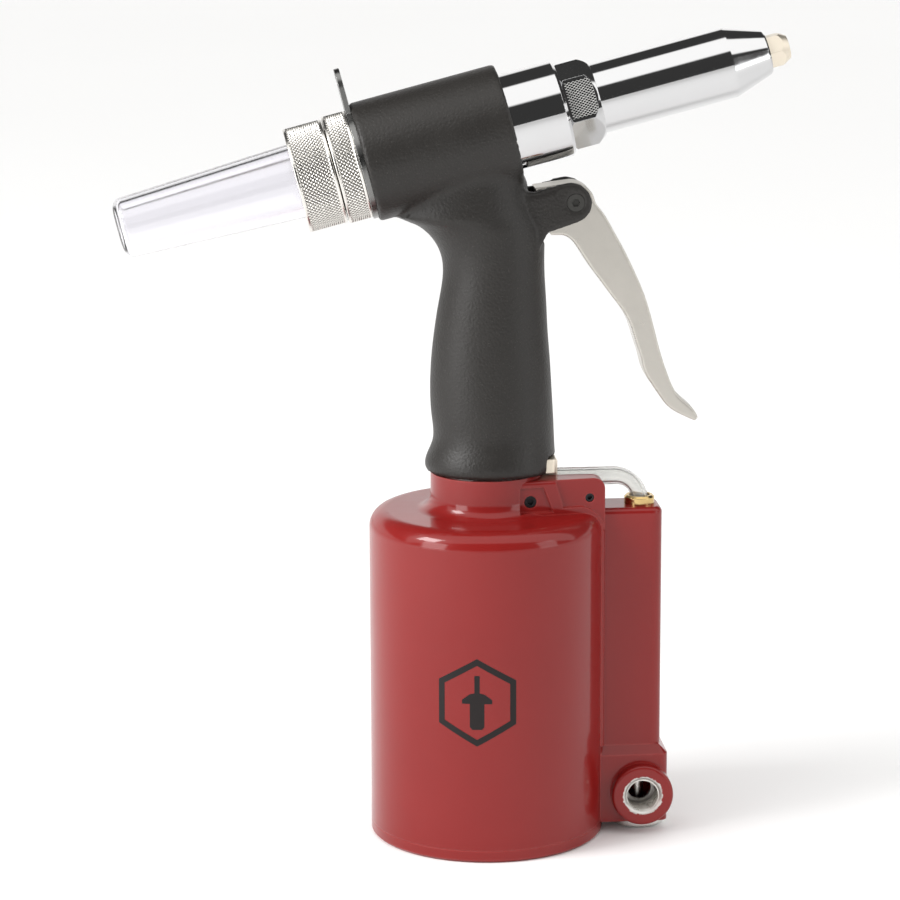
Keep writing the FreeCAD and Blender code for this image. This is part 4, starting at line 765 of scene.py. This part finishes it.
def knurled_turning(name, corners, band, radius, teeth, body, node_name):
    """Turned ring whose outside carries a diamond knurl between two stations.

    Two sets of helical V grooves cross, where teeth * angle / 2 pi + and - station / lead are whole. A
    point's depth follows its distance to the nearer groove, and fades out at the ends of the band."""
    low, high = band
    loop = rounded_profile(corners)
    on_band = np.abs(loop[:, 1] - radius) < 1e-6
    rest = loop[~((loop[:, 0] > low) & (loop[:, 0] < high) & on_band)]
    stations = np.linspace(high, low, int((high - low) / KNURL_LEAD * PER_LEAD))
    from_band_end = np.abs(rest[:, 0] - high) + 10 * np.abs(rest[:, 1] - radius)
    cut = int(np.argmin(from_band_end)) + 1
    surface = np.stack([stations, np.full(len(stations), radius)], -1)
    path = np.concatenate([rest[:cut], surface, rest[cut:]])
    angle = np.linspace(0, 2 * np.pi, teeth * PER_TOOTH, endpoint=False)[None, :]
    u, r = path[:, :1], path[:, 1:]
    a = angle * teeth / (2 * np.pi) + u / KNURL_LEAD
    b = angle * teeth / (2 * np.pi) - u / KNURL_LEAD
    near = 2 * np.minimum(np.abs(a - np.round(a)), np.abs(b - np.round(b)))
    fade = np.clip(np.minimum(u - low, high - u) / KNURL_FADE, 0, 1) * (np.abs(r - radius) < 1e-6)
    reach = r - KNURL_DEPTH * fade * (1 - np.clip(near * GROOVE_SLOPE, 0, 1))
    points = np.stack([u + 0 * angle, reach * np.cos(angle), reach * np.sin(angle)], -1)
    piece = grid_piece(name, on_head(points), knurled, body, [node_name], wrap_rows=True,
                       wrap_columns=True, sharp=50)
    # Each point's groove depth is kept for the painted shade in the grooves.
    groove = ((r - reach) / KNURL_DEPTH + 0 * angle).ravel().astype(np.float32)
    piece.data.attributes.new("groove", "FLOAT", "POINT").data.foreach_set("value", groove)


# Profiles are pairs of a station along the head and a radius.
CAP_R, RING_R = 18.75, 18.1
cap_profile = [(-38.6, 4.0), (-38.6, 15.6), (-45.0, 15.6), (-45.0, CAP_R), (-53.4, CAP_R), (-53.4, 14.1),
               (-58.0, 14.1), (-58.0, 9.5), (-49.4, 9.5), (-48.4, 4.0)]
ring_profile = [(-53.8, 14.15), (-53.8, RING_R), (-67.2, RING_R), (-67.2, 13.4), (-60.63, 13.4),
                (-60.63, 14.15)]
knurled_turning("end_cap_knurled", cap_profile, band=(-52.7, -45.7), radius=CAP_R, teeth=84,
                body="frame", node_name="end_cap")
knurled_turning("collector_ring_knurled", ring_profile, band=(-66.4, -54.6), radius=RING_R, teeth=82,
                body="ring", node_name="collector_ring")

# ---------------------------------------------------------------- collector bottle
# Clear plastic bottle with a faint violet tint, tapered, with a rounded end; it
# catches the spent mandrels.
clear_plastic = finish("clear_violet_plastic", (0.955, 0.948, 0.98), tone=0.01, rough=(0.05, 0.10),
                       cloud_scale=60, Transmission_Weight=1.0, IOR=1.47)
dress(clear_plastic, "collector_bottle")

# ---------------------------------------------------------------- trigger and pilot valve
# Cast lever, polished by hand so that its flanks stay a little uneven, on a
# blackened pin between the ears of the moulding; it pushes the pilot stem.
cast_lever = finish("polished_casting", (0.56, 0.535, 0.49), tone=0.20, rough=(0.24, 0.44), cloud_scale=55,
                    grain_scale=260, grain_depth=0.00003, edge=0.0008, edge_gain=0.25, Metallic=1.0)
dress(cast_lever, "trigger")
blackened = finish("blackened_pin", (0.030, 0.029, 0.026), tone=0.2, rough=(0.45, 0.60), cloud_scale=400,
                   grain_scale=2500, grain_depth=0.00002, Metallic=0.2)
dress(blackened, "trigger_pin")
PILOT_Z = 216.6
coils = along_x(spring_points(radius=1.75, wire=0.3, low=2.0, high=7.7, turns=5.0, around=10, each=28))
coils[..., 2] += PILOT_Z
spring = spring_piece("pilot_spring_coils", coils, "frame", "pilot_spring")
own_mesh(spring)
